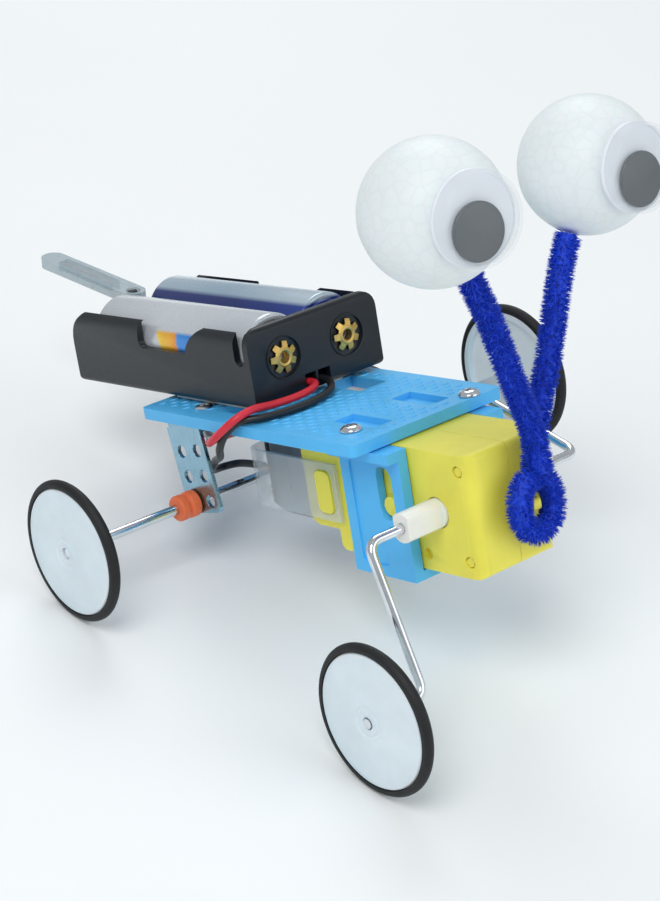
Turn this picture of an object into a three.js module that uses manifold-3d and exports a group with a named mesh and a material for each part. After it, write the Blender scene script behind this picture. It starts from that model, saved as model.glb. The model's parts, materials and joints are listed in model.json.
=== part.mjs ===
// Crawling robot kit car: a deck with a geared motor and a two-cell battery box, a plain rear axle,
// and a front wheel on the end of each of two bent wire cranks. Units are millimetres.
//
// The car is modelled in its own level frame: X runs forward, Y to its left, Z up, with the deck's
// top face at Z = 0 and the deck's rear edge at X = 0. The whole car is then pitched nose up, because
// the near crank points down and its wheel stands on the ground with the two rear wheels.

import * as THREE from 'three';
import { mergeVertices } from 'three/addons/utils/BufferGeometryUtils.js';
import Module from 'manifold-3d';

const wasm = await Module();
wasm.setup();

// ---------- driving dimensions ----------

const GAP = 0.3;                 // clearance between touching pieces

const DECK = { length: 62, width: 36.6, thick: 2.2, corner: 1.2 };
const DECK_POCKET = { x: [46.8, 57.5], y: [4.6, 9.4], depth: 1.2 };
const DECK_WINDOW_NEAR = { x: [17.4, 25], y: [-13.5, -7] };
const DECK_WINDOW_FAR = { x: [26.5, 36.8], y: [6, 12.7] };

const AXLE = { x: 12, z: -17.6, radius: 1, y: [-47.9, 30.2] };
const WHEEL = { radius: 13.7, rim: 12.2, depth: 2.2, web: 1.3, bore: 1.1, hub: 3, dome: 0.5, sides: 24 };
const REAR_WHEEL_Y = [-47.7, 30]; // outer faces of the near and far rear wheels
const FRONT_WHEEL_Y = 38.2;      // outer face of each front wheel
const BUSH = { radius: 2.6, groove: 2.1, length: 4.4, bore: 1.07 };

const SHAFT = { x: 71.3, z: -13.7, radius: 2.7, flat: 1.85, reach: 17.9, bore: 0.98, clear: 0.2 };
const CRANK = { radius: 0.9, plane: 25.7, arm: 27.4, bend: 2.6 };
const NEAR_ARM = THREE.MathUtils.degToRad(18.6);    // forward of straight down
const FAR_ARM = THREE.MathUtils.degToRad(-109.2);   // behind and above the shaft

const CASE = {
  rear: 43.8, front: 80.8, half: 9.4, height: 22.45, wall: 1.4, corner: 3, edge: 1.4, seam: 0.05,
};
const EAR = { rear: 36, z: [-21, -5.6], inner: 7.8 };
const LUG = { x: 42.4, z: -13.7, width: 4, height: 8, corner: 1.2, proud: 1.3 };
const PEG = { x: 60.9, radius: 1.85 };
const NOSE_LUG = { length: 4.4, y: [0.4, 2.2], height: 2.4 };

const MOTOR = { rear: 23.7, front: 43.4, radius: 10, flat: 7.5, shaft: 0.95 };
const END_CAP = { rear: 21.9, radius: 9.4, flat: 7.1 };
const STRAP = { rear: 19.8, front: 46, outer: 10.5, thick: 0.8, height: 11.2, bend: 3.6 };
const TERMINAL = { x: [18.5, 21.6], y: 5, width: 2, thick: 0.5 };

const GEAR = { module: 0.5, output: 28, idler: 22, crown: 20, pinion: 8 };
const GEAR_BAND = { crown: [-3.9, -2.6], idler: [2.4, 4.2], output: [0, 1.9] };

const CRADLE = { x: [49.8, 65.8], wall: 2.05, floor: [-27, -25.25], flange: 14.2, top: [-4.4, -2.5] };
const CRADLE_SLOT = { x: [58.7, 63.1], z: [-15.9, -6], radius: 2.1 };
const CRADLE_SCREWS = [['near', 54.6, -11.9], ['far', 60, 12]];

const ANGLE = { y: 17.9, thick: 0.8, lean: 9, u: [-2.9, 7.5], foot: -2.3, reach: 9.4, hole: 1.25, pitch: 5 };
const ANGLE_SCREW = { x: 13.6, y: 13.2 };

const BOX = { x: [-27.8, 29.5], y: [-12.8, 19], z: [1, 16], wall: 1.4, round: 7, crown: 3.4 };
const PAD = { x: [1.5, 27], y: [-11, 10.8], z: [0.25, 0.75] };
const CELL = { radius: 7.1, length: 49.4, z: 9.8, offset: 7.25 };
const EYELET = { y: 7.8, z: 9, radius: 3.1, bore: 1.05, recess: 4 };
const LEVER = { x: -24.9, y: 1.4, z: 14.2, length: 30.5, half: 2.5, thick: 2.2, tilt: 11 };
const LEVER_SHELF = { x: [-27.2, -22.6], y: [0, 2.8], z: [12.9, 13.5], pin: 1, pinTop: 16.2 };

const BALL = { radius: 12 };
const EYES = [
  { side: 'near', centre: [94.1, -20.8, 43.3], yaw: -9.5 },
  { side: 'far', centre: [86.2, 22.5, 40.6], yaw: -2.4 },
];
const GOOGLY = { back: 10.6, backThick: 0.8, radius: 7.6, wall: 0.6, side: 1.7, rise: 2.4, pupil: 4.7 };
const STEM = { radius: 2.7, ring: 4.75, squash: [0.86, 1.06], x: 84.9, y: 1.3, z: -13.7 };
const STALKS = [
  [[86, 2.4, -8], [86, 1.9, -2], [87, -0.2, 3.4], [88.6, -3.4, 9.2], [90.4, -6.8, 16], [92.2, -10.6, 23.6],
    [93.5, -14, 29.8], [93.8, -15.1, 32.2]],
  [[84.4, 2.4, -8], [84.4, 3.6, -2], [84.8, 5.4, 3.4], [85.4, 7.6, 9.2], [85.9, 9.9, 16], [86.2, 12.2, 23],
    [86.3, 14.9, 28.8], [86.4, 15.7, 30.2]],
];

const LEAD = { radius: 0.75, sides: 8, steps: 34 };
const RED_ROUTE = [
  [28.4, 0.7, 2.6], [30.6, 0.6, 2.6], [32.2, -1.4, 2.3], [32.6, -5.5, 2], [32.4, -11, 2.1],
  [32.7, -16.4, 2.7], [32.1, -19.9, 1.9], [29.6, -21.8, -0.3], [26.2, -21.8, -2.5], [22.9, -20, -3.7],
  [20.2, -16.2, -4.4], [18, -12, -5.2], [16, -8.6, -6], [13.8, -5, -6.8], [12, -1, -8.4], [11.2, 2.4, -10.8],
  [12.2, 4.6, -12.9], [15, 5, -13.7], [18.1, 5, -13.7],
];
const BLACK_ROUTE = [
  [28.4, 3.9, 2.4], [30.8, 3.8, 2.2], [33.4, 2, 1.5], [35.2, -3, 1], [35.4, -9.5, 0.95], [34, -14.8, 0.95],
  [31.2, -18.7, 0.85], [28.4, -20, -1.4], [25.2, -19.5, -4.6], [22.2, -17.6, -7], [19.4, -15.8, -8.4],
  [16.2, -14.6, -9.8], [13.6, -13.8, -11.6], [11.2, -12.4, -13], [9.4, -10.2, -13.9], [8.8, -7.8, -14.2],
  [10.4, -5.7, -14], [13.8, -5, -13.8], [18.1, -5, -13.7],
];

// ---------- finishes: colour, roughness, metalness, opacity ----------

const FINISH = {
  deck: [0x5cb8f5, 0.45, 0],
  gearbox: [0xf0e040, 0.4, 0],
  black: [0x20282c, 0.5, 0],
  steel: [0x9fb4bf, 0.3, 0.9],
  wire: [0xc8ced2, 0.2, 1],
  bush: [0xf07846, 0.55, 0],
  wheel: [0xe4edf0, 0.5, 0],
  tyre: [0x17191b, 0.85, 0],
  clear: [0xdfe8ea, 0.12, 0, 0.4],
  nylon: [0xf2f2ee, 0.45, 0],
  brass: [0xd8b45a, 0.3, 0.95],
  ball: [0xf4f8f8, 0.7, 0],
  pupil: [0x15171a, 0.4, 0],
  chenille: [0x0a2cc4, 0.9, 0],
  tape: [0xe8e6dc, 0.9, 0],
  silverCell: [0xc9ced0, 0.3, 0.5],
  navyCell: [0x16307a, 0.3, 0.4],
  redLead: [0xd23340, 0.45, 0],
  blackLead: [0x121416, 0.45, 0],
};

function material(finish) {
  const [color, roughness, metalness, opacity = 1] = FINISH[finish];
  return new THREE.MeshStandardMaterial({ color, roughness, metalness, opacity, transparent: opacity < 1 });
}

function addPiece(parent, name, finish, geometry, position = [0, 0, 0], rotation = [0, 0, 0]) {
  const mesh = new THREE.Mesh(geometry, material(finish));
  mesh.name = name;
  mesh.position.set(...position);
  mesh.rotation.set(...rotation);
  parent.add(mesh);
  return mesh;
}

// ---------- solids ----------

function toSolid(geometry) {
  const bare = geometry.clone();
  bare.deleteAttribute('normal');
  bare.deleteAttribute('uv');
  const merged = mergeVertices(bare, 1e-4);
  const vertProperties = new Float32Array(merged.attributes.position.array);
  const triVerts = new Uint32Array(merged.index.array);
  return new wasm.Manifold(new wasm.Mesh({ numProp: 3, vertProperties, triVerts }));
}

function toGeometry(solid) {
  const mesh = solid.getMesh();
  const geometry = new THREE.BufferGeometry();
  geometry.setAttribute('position', new THREE.BufferAttribute(mesh.vertProperties, 3));
  geometry.setIndex(new THREE.BufferAttribute(mesh.triVerts, 1));
  return geometry;
}

function cut(base, ...tools) {
  return toGeometry(tools.reduce((solid, tool) => solid.subtract(toSolid(tool)), toSolid(base)));
}

function join(base, ...extras) {
  return toGeometry(extras.reduce((solid, extra) => solid.add(toSolid(extra)), toSolid(base)));
}

function overlap(base, other) {
  return toGeometry(toSolid(base).intersect(toSolid(other)));
}

// ---------- shapes ----------

function block([x0, x1], [y0, y1], [z0, z1]) {
  const geometry = new THREE.BoxGeometry(x1 - x0, y1 - y0, z1 - z0);
  return geometry.translate((x0 + x1) / 2, (y0 + y1) / 2, (z0 + z1) / 2);
}

function rodX(radius, [x0, x1], y, z, sides = 20) {
  const geometry = new THREE.CylinderGeometry(radius, radius, x1 - x0, sides);
  return geometry.rotateZ(-Math.PI / 2).translate((x0 + x1) / 2, y, z);
}

function rodY(radius, [y0, y1], x, z, sides = 20) {
  return new THREE.CylinderGeometry(radius, radius, y1 - y0, sides).translate(x, (y0 + y1) / 2, z);
}

function rodZ(radius, [z0, z1], x, y, sides = 16) {
  const geometry = new THREE.CylinderGeometry(radius, radius, z1 - z0, sides);
  return geometry.rotateX(Math.PI / 2).translate(x, y, (z0 + z1) / 2);
}

// A shape drawn in X and Y, raised from z0 to z1.
function slabZ(shape, [z0, z1], curveSegments = 5) {
  const geometry = new THREE.ExtrudeGeometry(shape, { depth: z1 - z0, bevelEnabled: false, curveSegments });
  return geometry.translate(0, 0, z0);
}

// A shape drawn in X and Z, spread from y0 to y1.
function slabY(shape, [y0, y1], curveSegments = 5) {
  const geometry = new THREE.ExtrudeGeometry(shape, { depth: y1 - y0, bevelEnabled: false, curveSegments });
  return geometry.rotateX(Math.PI / 2).translate(0, y1, 0);
}

// A shape drawn in Y and Z, spread from x0 to x1.
function slabX(shape, [x0, x1], curveSegments = 5) {
  const geometry = new THREE.ExtrudeGeometry(shape, { depth: x1 - x0, bevelEnabled: false, curveSegments });
  const cycle = new THREE.Matrix4().set(0, 0, 1, x0, 1, 0, 0, 0, 0, 1, 0, 0, 0, 0, 0, 1);
  return geometry.applyMatrix4(cycle);
}

// A rectangle with its own radius at each corner: low-left, low-right, high-right, high-left.
function roundedRectangle([a0, a1], [b0, b1], radii) {
  const [ll, lr, hr, hl] = Array.isArray(radii) ? radii : [radii, radii, radii, radii];
  const shape = new THREE.Shape();
  shape.moveTo(a0 + ll, b0);
  shape.lineTo(a1 - lr, b0);
  if (lr > 0) shape.absarc(a1 - lr, b0 + lr, lr, -Math.PI / 2, 0);
  shape.lineTo(a1, b1 - hr);
  if (hr > 0) shape.absarc(a1 - hr, b1 - hr, hr, 0, Math.PI / 2);
  shape.lineTo(a0 + hl, b1);
  if (hl > 0) shape.absarc(a0 + hl, b1 - hl, hl, Math.PI / 2, Math.PI);
  shape.lineTo(a0, b0 + ll);
  if (ll > 0) shape.absarc(a0 + ll, b0 + ll, ll, Math.PI, Math.PI * 1.5);
  return shape;
}

function polygonPath(points) {
  return new THREE.Path(points.map(([a, b]) => new THREE.Vector2(a, b)));
}

function rectanglePath([a0, a1], [b0, b1]) {
  return polygonPath([[a0, b0], [a1, b0], [a1, b1], [a0, b1]]);
}

function roundPoints(radius, sides, [a, b] = [0, 0]) {
  return Array.from({ length: sides }, (_, k) => {
    const angle = (2 * Math.PI * k) / sides;
    return [a + radius * Math.cos(angle), b + radius * Math.sin(angle)];
  });
}

// A profile of [radius, height] points turned about the vertical axis.
function turned(profile, sides) {
  return new THREE.LatheGeometry(profile.map(([r, h]) => new THREE.Vector2(r, h)), sides);
}

// A round tube along a curve.
function tube(curve, radius, sides, steps) {
  const section = new THREE.Shape(roundPoints(radius, sides).map(([a, b]) => new THREE.Vector2(a, b)));
  return new THREE.ExtrudeGeometry(section, { extrudePath: curve, steps, bevelEnabled: false });
}

function smoothCurve(points) {
  return new THREE.CatmullRomCurve3(points.map((p) => new THREE.Vector3(...p)), false, 'centripetal');
}

// Straight runs joined by rounded bends.
function bentWire(corners, bend) {
  const points = corners.map((p) => new THREE.Vector3(...p));
  const path = new THREE.CurvePath();
  let from = points[0];
  for (let k = 1; k < points.length - 1; k += 1) {
    const back = points[k - 1].clone().sub(points[k]).setLength(bend).add(points[k]);
    const ahead = points[k + 1].clone().sub(points[k]).setLength(bend).add(points[k]);
    path.add(new THREE.LineCurve3(from, back));
    path.add(new THREE.QuadraticBezierCurve3(back, points[k], ahead));
    from = ahead;
  }
  path.add(new THREE.LineCurve3(from, points[points.length - 1]));
  return path;
}

// A spur gear drawn in X and Z about its own centre. A phase of 0.5 puts a gap on the X axis.
function gearShape(teeth, phase) {
  const pitch = (GEAR.module * teeth) / 2;
  const tip = pitch + 0.8 * GEAR.module;
  const root = pitch - 1.2 * GEAR.module;
  const step = (2 * Math.PI) / teeth;
  const flank = [[root, -0.27], [tip, -0.11], [tip, 0.11], [root, 0.27]];
  const points = [];
  for (let k = 0; k < teeth; k += 1) {
    for (const [radius, offset] of flank) {
      const angle = (k + phase + offset) * step;
      points.push(new THREE.Vector2(radius * Math.cos(angle), radius * Math.sin(angle)));
    }
  }
  return new THREE.Shape(points);
}

// A pan-head screw, its head's underside at height zero and its shank below, with a cross recess.
function panScrew(headRadius, headHeight, shankRadius, shankLength) {
  const body = turned([
    [0, -shankLength],
    [shankRadius, -shankLength],
    [shankRadius, 0],
    [headRadius, 0],
    [headRadius, headHeight * 0.45],
    [headRadius * 0.72, headHeight],
    [0, headHeight],
  ], 12).rotateX(Math.PI / 2);
  const arm = headRadius * 0.55;
  const slit = headRadius * 0.13;
  const depth = [headHeight * 0.35, headHeight * 2];
  return cut(body, block([-arm, arm], [-slit, slit], depth), block([-slit, slit], [-arm, arm], depth));
}

// ---------- deck and what hangs from it ----------

function deckPlate() {
  const outline = roundedRectangle([0, DECK.length], [-DECK.width / 2, DECK.width / 2], DECK.corner);
  outline.holes.push(rectanglePath(DECK_WINDOW_NEAR.x, DECK_WINDOW_NEAR.y));
  outline.holes.push(rectanglePath(DECK_WINDOW_FAR.x, DECK_WINDOW_FAR.y));
  for (const [, x, y] of CRADLE_SCREWS) outline.holes.push(polygonPath(roundPoints(1.25, 10, [x, y])));
  for (const side of [-1, 1]) {
    const centre = [ANGLE_SCREW.x, side * ANGLE_SCREW.y];
    outline.holes.push(polygonPath(roundPoints(1.25, 10, centre)));
  }
  const plate = slabZ(outline, [-DECK.thick, 0], 3);
  const [low, high] = DECK_POCKET.y;
  const pocketDepth = [-DECK_POCKET.depth, 1];
  const nearPocket = block(DECK_POCKET.x, [-high, -low], pocketDepth);
  const farPocket = block(DECK_POCKET.x, [low, high], pocketDepth);
  return cut(plate, nearPocket, farPocket);
}

// A U-shaped cradle round the gearbox, with a flange along the top of each wall.
function motorCradle() {
  const inner = CASE.half + GAP;
  const outer = inner + CRADLE.wall;
  const [floorLow, floorHigh] = CRADLE.floor;
  const [flangeLow, flangeHigh] = CRADLE.top;
  const section = polygonPath([
    [-outer, floorLow], [outer, floorLow], [outer, flangeLow], [CRADLE.flange, flangeLow],
    [CRADLE.flange, flangeHigh], [inner, flangeHigh], [inner, floorHigh], [-inner, floorHigh],
    [-inner, flangeHigh], [-CRADLE.flange, flangeHigh], [-CRADLE.flange, flangeLow], [-outer, flangeLow],
  ]);
  const body = slabX(new THREE.Shape(section.getPoints()), CRADLE.x);
  const slotShape = roundedRectangle(CRADLE_SLOT.x, CRADLE_SLOT.z, CRADLE_SLOT.radius);
  const slot = slabY(slotShape, [-outer - 1, outer + 1], 4);
  const ribX = [CRADLE.x[0] + 2.4, CRADLE.x[1] - 6.6];
  const reliefShape = roundedRectangle(ribX, [floorLow + 2, flangeLow - 1.2], 0.8);
  const relief = slabY(reliefShape, [-outer - 1, -outer + 0.4], 2);
  const holes = CRADLE_SCREWS.map(([, x, y]) => rodZ(1, [flangeLow - 1, flangeHigh + 1], x, y, 12));
  return cut(body, slot, relief, ...holes);
}

// A perforated steel angle: a leaning wall that carries the axle and a foot flange under the deck.
function axleAngle(side) {
  const lean = THREE.MathUtils.degToRad(ANGLE.lean);
  const [u0, u1] = ANGLE.u;
  const top = (-AXLE.z - DECK.thick - GAP) / Math.cos(lean);
  const wallShape = roundedRectangle([u0, u1], [ANGLE.foot, top + 2], [1, 1, 0, 0]);
  for (const column of [0, ANGLE.pitch]) {
    for (const row of [0, ANGLE.pitch, 2 * ANGLE.pitch]) {
      const radius = column === 0 && row === 0 ? BUSH.bore : ANGLE.hole;
      wallShape.holes.push(polygonPath(roundPoints(radius, 8, [column, row])));
    }
  }
  const wall = slabY(wallShape, [ANGLE.y - ANGLE.thick, ANGLE.y], 3);
  wall.rotateY(-lean).translate(AXLE.x, 0, AXLE.z);
  const flangeTop = -DECK.thick - GAP;
  const kept = overlap(wall, block([0, 30], [0, 30], [AXLE.z - 5, flangeTop]));
  const topX = AXLE.x - top * Math.sin(lean);
  const flangeX = [topX + u0 * Math.cos(lean) + 0.1, topX + u1 * Math.cos(lean) - 0.1];
  const flangeY = [ANGLE.y - ANGLE.reach, ANGLE.y - ANGLE.thick / 2];
  const flange = block(flangeX, flangeY, [flangeTop - ANGLE.thick, flangeTop]);
  const drills = [0, ANGLE.pitch].map((step) => {
    const x = ANGLE_SCREW.x - step;
    return rodZ(ANGLE.hole, [flangeTop - 3, flangeTop + 3], x, ANGLE_SCREW.y, 10);
  });
  const angle = cut(join(kept, flange), ...drills);
  return side > 0 ? angle : mirrored(angle);
}

// The mirror image across the car's centre plane.
function mirrored(geometry) {
  const flipped = geometry.clone().scale(1, -1, 1);
  const index = flipped.index.array;
  for (let k = 0; k < index.length; k += 3) {
    [index[k], index[k + 1]] = [index[k + 1], index[k]];
  }
  return flipped;
}

function hexNut(across, height, bore) {
  const corners = roundPoints(across / Math.sqrt(3), 6);
  const outline = new THREE.Shape(corners.map(([a, b]) => new THREE.Vector2(a, b)));
  outline.holes.push(polygonPath(roundPoints(bore, 12)));
  return slabZ(outline, [0, height]);
}

function addDeck(car) {
  addPiece(car, 'deck_plate', 'deck', deckPlate());
  addPiece(car, 'motor_bracket', 'deck', motorCradle());
  for (const [side, x, y] of CRADLE_SCREWS) {
    addPiece(car, `bracket_screw_${side}`, 'wire', panScrew(2, 1, 0.85, 4.6), [x, y, 0.1]);
  }
  for (const [side, sign] of [['near', -1], ['far', 1]]) {
    addPiece(car, `axle_bracket_${side}`, 'steel', axleAngle(sign));
    const at = [ANGLE_SCREW.x, sign * ANGLE_SCREW.y, 0.08];
    addPiece(car, `axle_bracket_screw_${side}`, 'steel', panScrew(1.9, 0.6, 0.95, 6.2), at);
    const nutTop = -DECK.thick - 2 * GAP - ANGLE.thick;
    addPiece(car, `axle_bracket_nut_${side}`, 'steel', hexNut(4, 1.6, 1.1), [at[0], at[1], nutTop - 1.6]);
  }
  addPiece(car, 'foam_tape_pad', 'tape', slabZ(roundedRectangle(PAD.x, PAD.y, 1), PAD.z, 2));
}

// ---------- wheels and rear axle ----------

// Disc and tyre are turned about their own axis, with the outer face at height zero.
function wheelDisc() {
  const { rim, depth, web, bore, hub, dome, sides } = WHEEL;
  return turned([
    [bore, -depth], [hub, -depth], [hub, -web], [rim - 1.4, -web], [rim - 1.2, -depth], [rim, -depth],
    [rim, -0.25], [rim - 0.5, 0], [hub, dome], [bore, dome], [bore, -depth],
  ], sides);
}

function tyreRing() {
  const { radius, rim, depth, sides } = WHEEL;
  const seat = rim + 0.15;
  return turned([
    [seat, -depth], [radius - 0.6, -depth], [radius, -depth + 0.7], [radius, -0.85], [radius - 0.6, -0.15],
    [seat, -0.15], [seat, -depth],
  ], sides);
}

function addWheel(car, name, [x, y, z]) {
  const turn = y > 0 ? 0 : Math.PI;
  addPiece(car, `wheel_disc_${name}`, 'wheel', wheelDisc(), [x, y, z], [turn, 0, 0]);
  addPiece(car, `tyre_${name}`, 'tyre', tyreRing(), [x, y, z], [turn, 0, 0]);
}

// A grooved bush, turned about its own axis from its inner face at height zero.
function axleBush() {
  const { radius, groove, length, bore } = BUSH;
  const [low, high] = [0.4 * length, 0.6 * length];
  return turned([
    [bore, 0], [radius, 0], [radius, low], [groove, low + 0.3], [groove, high - 0.3], [radius, high],
    [radius, length - 0.4], [radius - 0.4, length], [bore, length], [bore, 0],
  ], 16);
}

function addRearAxle(car) {
  addPiece(car, 'rear_axle', 'wire', rodY(AXLE.radius, AXLE.y, AXLE.x, AXLE.z, 16));
  for (const [side, sign] of [['near', -1], ['far', 1]]) {
    const at = [AXLE.x, sign * (ANGLE.y + GAP), AXLE.z];
    addPiece(car, `axle_bush_${side}`, 'bush', axleBush(), at, [sign > 0 ? 0 : Math.PI, 0, 0]);
  }
  addWheel(car, 'rear_near', [AXLE.x, REAR_WHEEL_Y[0], AXLE.z]);
  addWheel(car, 'rear_far', [AXLE.x, REAR_WHEEL_Y[1], AXLE.z]);
}

// ---------- gearbox ----------

// One moulded half of the gearbox: a box with its mouth at the centre plane, an ear that grips
// the motor's flat, a lug for the strap and a peg beside the shaft.
function caseHalf(side) {
  const { rear, front, half, height, wall, corner, edge, seam } = CASE;
  const z = [SHAFT.z - height / 2, SHAFT.z + height / 2];
  const plan = roundedRectangle([rear, front], [-half, half], [0, corner, corner, 0]);
  const outer = overlap(
    slabZ(plan, z, 4),
    slabY(roundedRectangle([rear, front], z, edge), [seam, half], 3),
  );
  const roomPlan = roundedRectangle([rear + wall, front - wall], [-half + wall, half - wall], [0, 1, 1, 0]);
  const room = slabZ(roomPlan, [z[0] + wall, z[1] - wall], 2);
  const ear = slabY(roundedRectangle([EAR.rear, rear + 0.6], EAR.z, [2.6, 0, 0, 1.5]), [EAR.inner, half], 3);
  const lugX = [LUG.x - LUG.width / 2, LUG.x + LUG.width / 2];
  const lugZ = [LUG.z - LUG.height / 2, LUG.z + LUG.height / 2];
  const lug = slabY(roundedRectangle(lugX, lugZ, LUG.corner), [half - 0.5, half + LUG.proud], 4);
  const peg = rodY(PEG.radius, [half - 0.5, half + LUG.proud], PEG.x, SHAFT.z, 12);
  const body = join(outer, ear, lug, peg);
  const shaftHole = rodY(SHAFT.radius + SHAFT.clear, [0, half + 4], SHAFT.x, SHAFT.z, 16);
  const motorHole = rodX(1.6, [rear - 1, rear + wall + 1], 0, SHAFT.z, 12);
  const pegSeats = casePegPlaces().map(([x, sz]) => rodY(1.15, [half - 1, half + 1], x, sz, 8));
  const shell = cut(body, room, shaftHole, motorHole, ...pegSeats);
  return side > 0 ? join(shell, noseLug()) : mirrored(shell);
}

function casePegPlaces() {
  const [dx, dz] = [3, CASE.height / 2 - 3];
  return [
    [CASE.front - dx, SHAFT.z + dz],
    [CASE.front - dx, SHAFT.z - dz],
    [CRADLE.x[1] + 1.6, SHAFT.z - dz],
  ];
}

// The lug on the gearbox's front face that the stem is looped round.
function noseLug() {
  const { length, y, height } = NOSE_LUG;
  const lugX = [CASE.front - 0.6, CASE.front + length];
  const lugZ = [SHAFT.z - height / 2, SHAFT.z + height / 2];
  return slabY(roundedRectangle(lugX, lugZ, [0, 0.8, 0.8, 0]), y, 2);
}

// The train: motor pinion, crown gear, idler and output gear, all in mesh at rest.
// Its ratio is 20/8 x 22/8 x 28/8, or about 24 motor turns to one of the cranks.
function gearAxes() {
  const idler = SHAFT.x - (GEAR.module * (GEAR.output + GEAR.pinion)) / 2;
  const crown = idler - (GEAR.module * (GEAR.idler + GEAR.pinion)) / 2;
  return { idler, crown };
}

function spur(teeth, phase, band) {
  return slabY(gearShape(teeth, phase), band);
}

function outputShaft() {
  const blank = rodY(SHAFT.radius, [-SHAFT.reach, SHAFT.reach], 0, 0, 16);
  const inside = CASE.half - CASE.wall - GAP;
  const tools = [];
  for (const sign of [-1, 1]) {
    const ends = sign > 0 ? [inside + 2.2, SHAFT.reach + 1] : [-SHAFT.reach - 1, -inside - 2.2];
    tools.push(block([SHAFT.flat, 4], ends, [-4, 4]));
    tools.push(block([-4, -SHAFT.flat], ends, [-4, 4]));
    const bore = sign > 0 ? [SHAFT.reach - 6, SHAFT.reach + 1] : [-SHAFT.reach - 1, -SHAFT.reach + 6];
    tools.push(rodY(SHAFT.bore, bore, 0, 0, 10));
  }
  return join(cut(blank, ...tools), spur(GEAR.output, 0.5, GEAR_BAND.output));
}

function idlerGear() {
  const pinionBand = [-0.6, GEAR_BAND.idler[0] + 0.2];
  const body = join(spur(GEAR.idler, 0.5, GEAR_BAND.idler), spur(GEAR.pinion, 0, pinionBand));
  return cut(body, rodY(0.6, [-2, 6], 0, 0, 12));
}

function crownGear() {
  const [low, high] = GEAR_BAND.crown;
  const pitch = (GEAR.module * GEAR.crown) / 2;
  const disc = rodY(pitch + 0.9, [low, high], 0, 0, 20);
  const hub = rodY(1.35, [low, GEAR_BAND.idler[0] - 0.4], 0, 0, 12);
  const pinion = spur(GEAR.pinion, 0, [GEAR_BAND.idler[0] - 0.5, GEAR_BAND.idler[1] + 0.2]);
  const teeth = [];
  for (let k = 0; k < GEAR.crown; k += 1) {
    const tooth = block([pitch - 0.5, pitch + 0.8], [high - 0.2, high + 1], [-0.2, 0.2]);
    teeth.push(tooth.rotateY((2 * Math.PI * (k + 0.5)) / GEAR.crown));
  }
  return cut(join(disc, hub, pinion, ...teeth), rodY(0.6, [low - 1, 6], 0, 0, 12));
}

// The pinion's teeth run along X. One tooth points at the crown gear.
function motorPinion() {
  const crownX = gearAxes().crown;
  const band = [crownX - 7.2, crownX - 4];
  const wheel = spur(GEAR.pinion, 0, [-band[1], -band[0]]).rotateZ(Math.PI / 2);
  const shaft = rodX(MOTOR.shaft, [MOTOR.front + GAP, band[0] + 0.5], 0, 0, 12);
  return join(wheel, shaft);
}

function gearPin() {
  const half = CASE.half - CASE.wall - GAP;
  return rodY(0.5, [-half, half], 0, 0, 10);
}

function addGearbox(car) {
  addPiece(car, 'gearbox_shell_near', 'gearbox', caseHalf(-1));
  addPiece(car, 'gearbox_shell_far', 'gearbox', caseHalf(1));
  casePegPlaces().slice(0, 2).forEach(([x, z], k) => {
    const name = ['case_peg_upper', 'case_peg_lower'][k];
    addPiece(car, name, 'gearbox', rodY(0.85, [-CASE.half + 0.3, -CASE.half + 0.9], x, z, 12));
  });
  addPiece(car, 'output_shaft', 'nylon', outputShaft(), [SHAFT.x, 0, SHAFT.z]);
  const { idler, crown } = gearAxes();
  addPiece(car, 'idler_gear', 'nylon', idlerGear(), [idler, 0, SHAFT.z]);
  addPiece(car, 'crown_gear', 'nylon', crownGear(), [crown, 0, SHAFT.z]);
  addPiece(car, 'motor_pinion', 'brass', motorPinion(), [0, 0, SHAFT.z]);
  addPiece(car, 'idler_pin', 'wire', gearPin(), [idler, 0, SHAFT.z]);
  addPiece(car, 'crown_pin', 'wire', gearPin(), [crown, 0, SHAFT.z]);
}

// ---------- motor and strap ----------

// A round body along X with a flat on each side.
function flattedBody(radius, flat, span) {
  return overlap(rodX(radius, span, 0, 0, 28), block(span, [-flat, flat], [-radius, radius]));
}

// A clear band round the back of the motor, hooked over the lug on each side of the gearbox.
function motorStrap() {
  const { rear, front, outer, thick, height, bend } = STRAP;
  const outline = roundedRectangle([rear, front], [-outer, outer], [bend, 0, 0, bend]);
  const hollow = roundedRectangle(
    [rear + thick, front + 1], [-outer + thick, outer - thick], [bend - thick, 0, 0, bend - thick],
  );
  const z = [SHAFT.z - height / 2, SHAFT.z + height / 2];
  const band = cut(slabZ(outline, z, 4), slabZ(hollow, [z[0] - 1, z[1] + 1], 4));
  const windowX = [LUG.x - LUG.width / 2 - GAP, LUG.x + LUG.width / 2 + GAP];
  const windowZ = [LUG.z - LUG.height / 2 - GAP, LUG.z + LUG.height / 2 + GAP];
  const sideWindow = slabY(roundedRectangle(windowX, windowZ, LUG.corner + GAP), [-outer - 1, outer + 1], 3);
  const backShape = roundedRectangle([-6.8, 6.8], [SHAFT.z - 3.4, SHAFT.z + 3.4], 1);
  const backWindow = slabX(backShape, [rear - 1, rear + 2], 2);
  return cut(band, sideWindow, backWindow);
}

function addMotor(car) {
  const at = [0, 0, SHAFT.z];
  const can = flattedBody(MOTOR.radius, MOTOR.flat, [MOTOR.rear, MOTOR.front]);
  addPiece(car, 'motor_can', 'steel', can, at);
  const cap = flattedBody(END_CAP.radius, END_CAP.flat, [END_CAP.rear, MOTOR.rear - 0.15]);
  addPiece(car, 'motor_end_cap', 'black', cap, at);
  addPiece(car, 'motor_strap', 'clear', motorStrap());
  for (const [name, sign] of [['black', -1], ['red', 1]]) {
    const y = [sign * TERMINAL.y - TERMINAL.width / 2, sign * TERMINAL.y + TERMINAL.width / 2];
    const z = [SHAFT.z - TERMINAL.thick / 2, SHAFT.z + TERMINAL.thick / 2];
    addPiece(car, `motor_terminal_${name}`, 'brass', block(TERMINAL.x, y, z));
  }
}

// ---------- cranks and front wheels ----------

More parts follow.
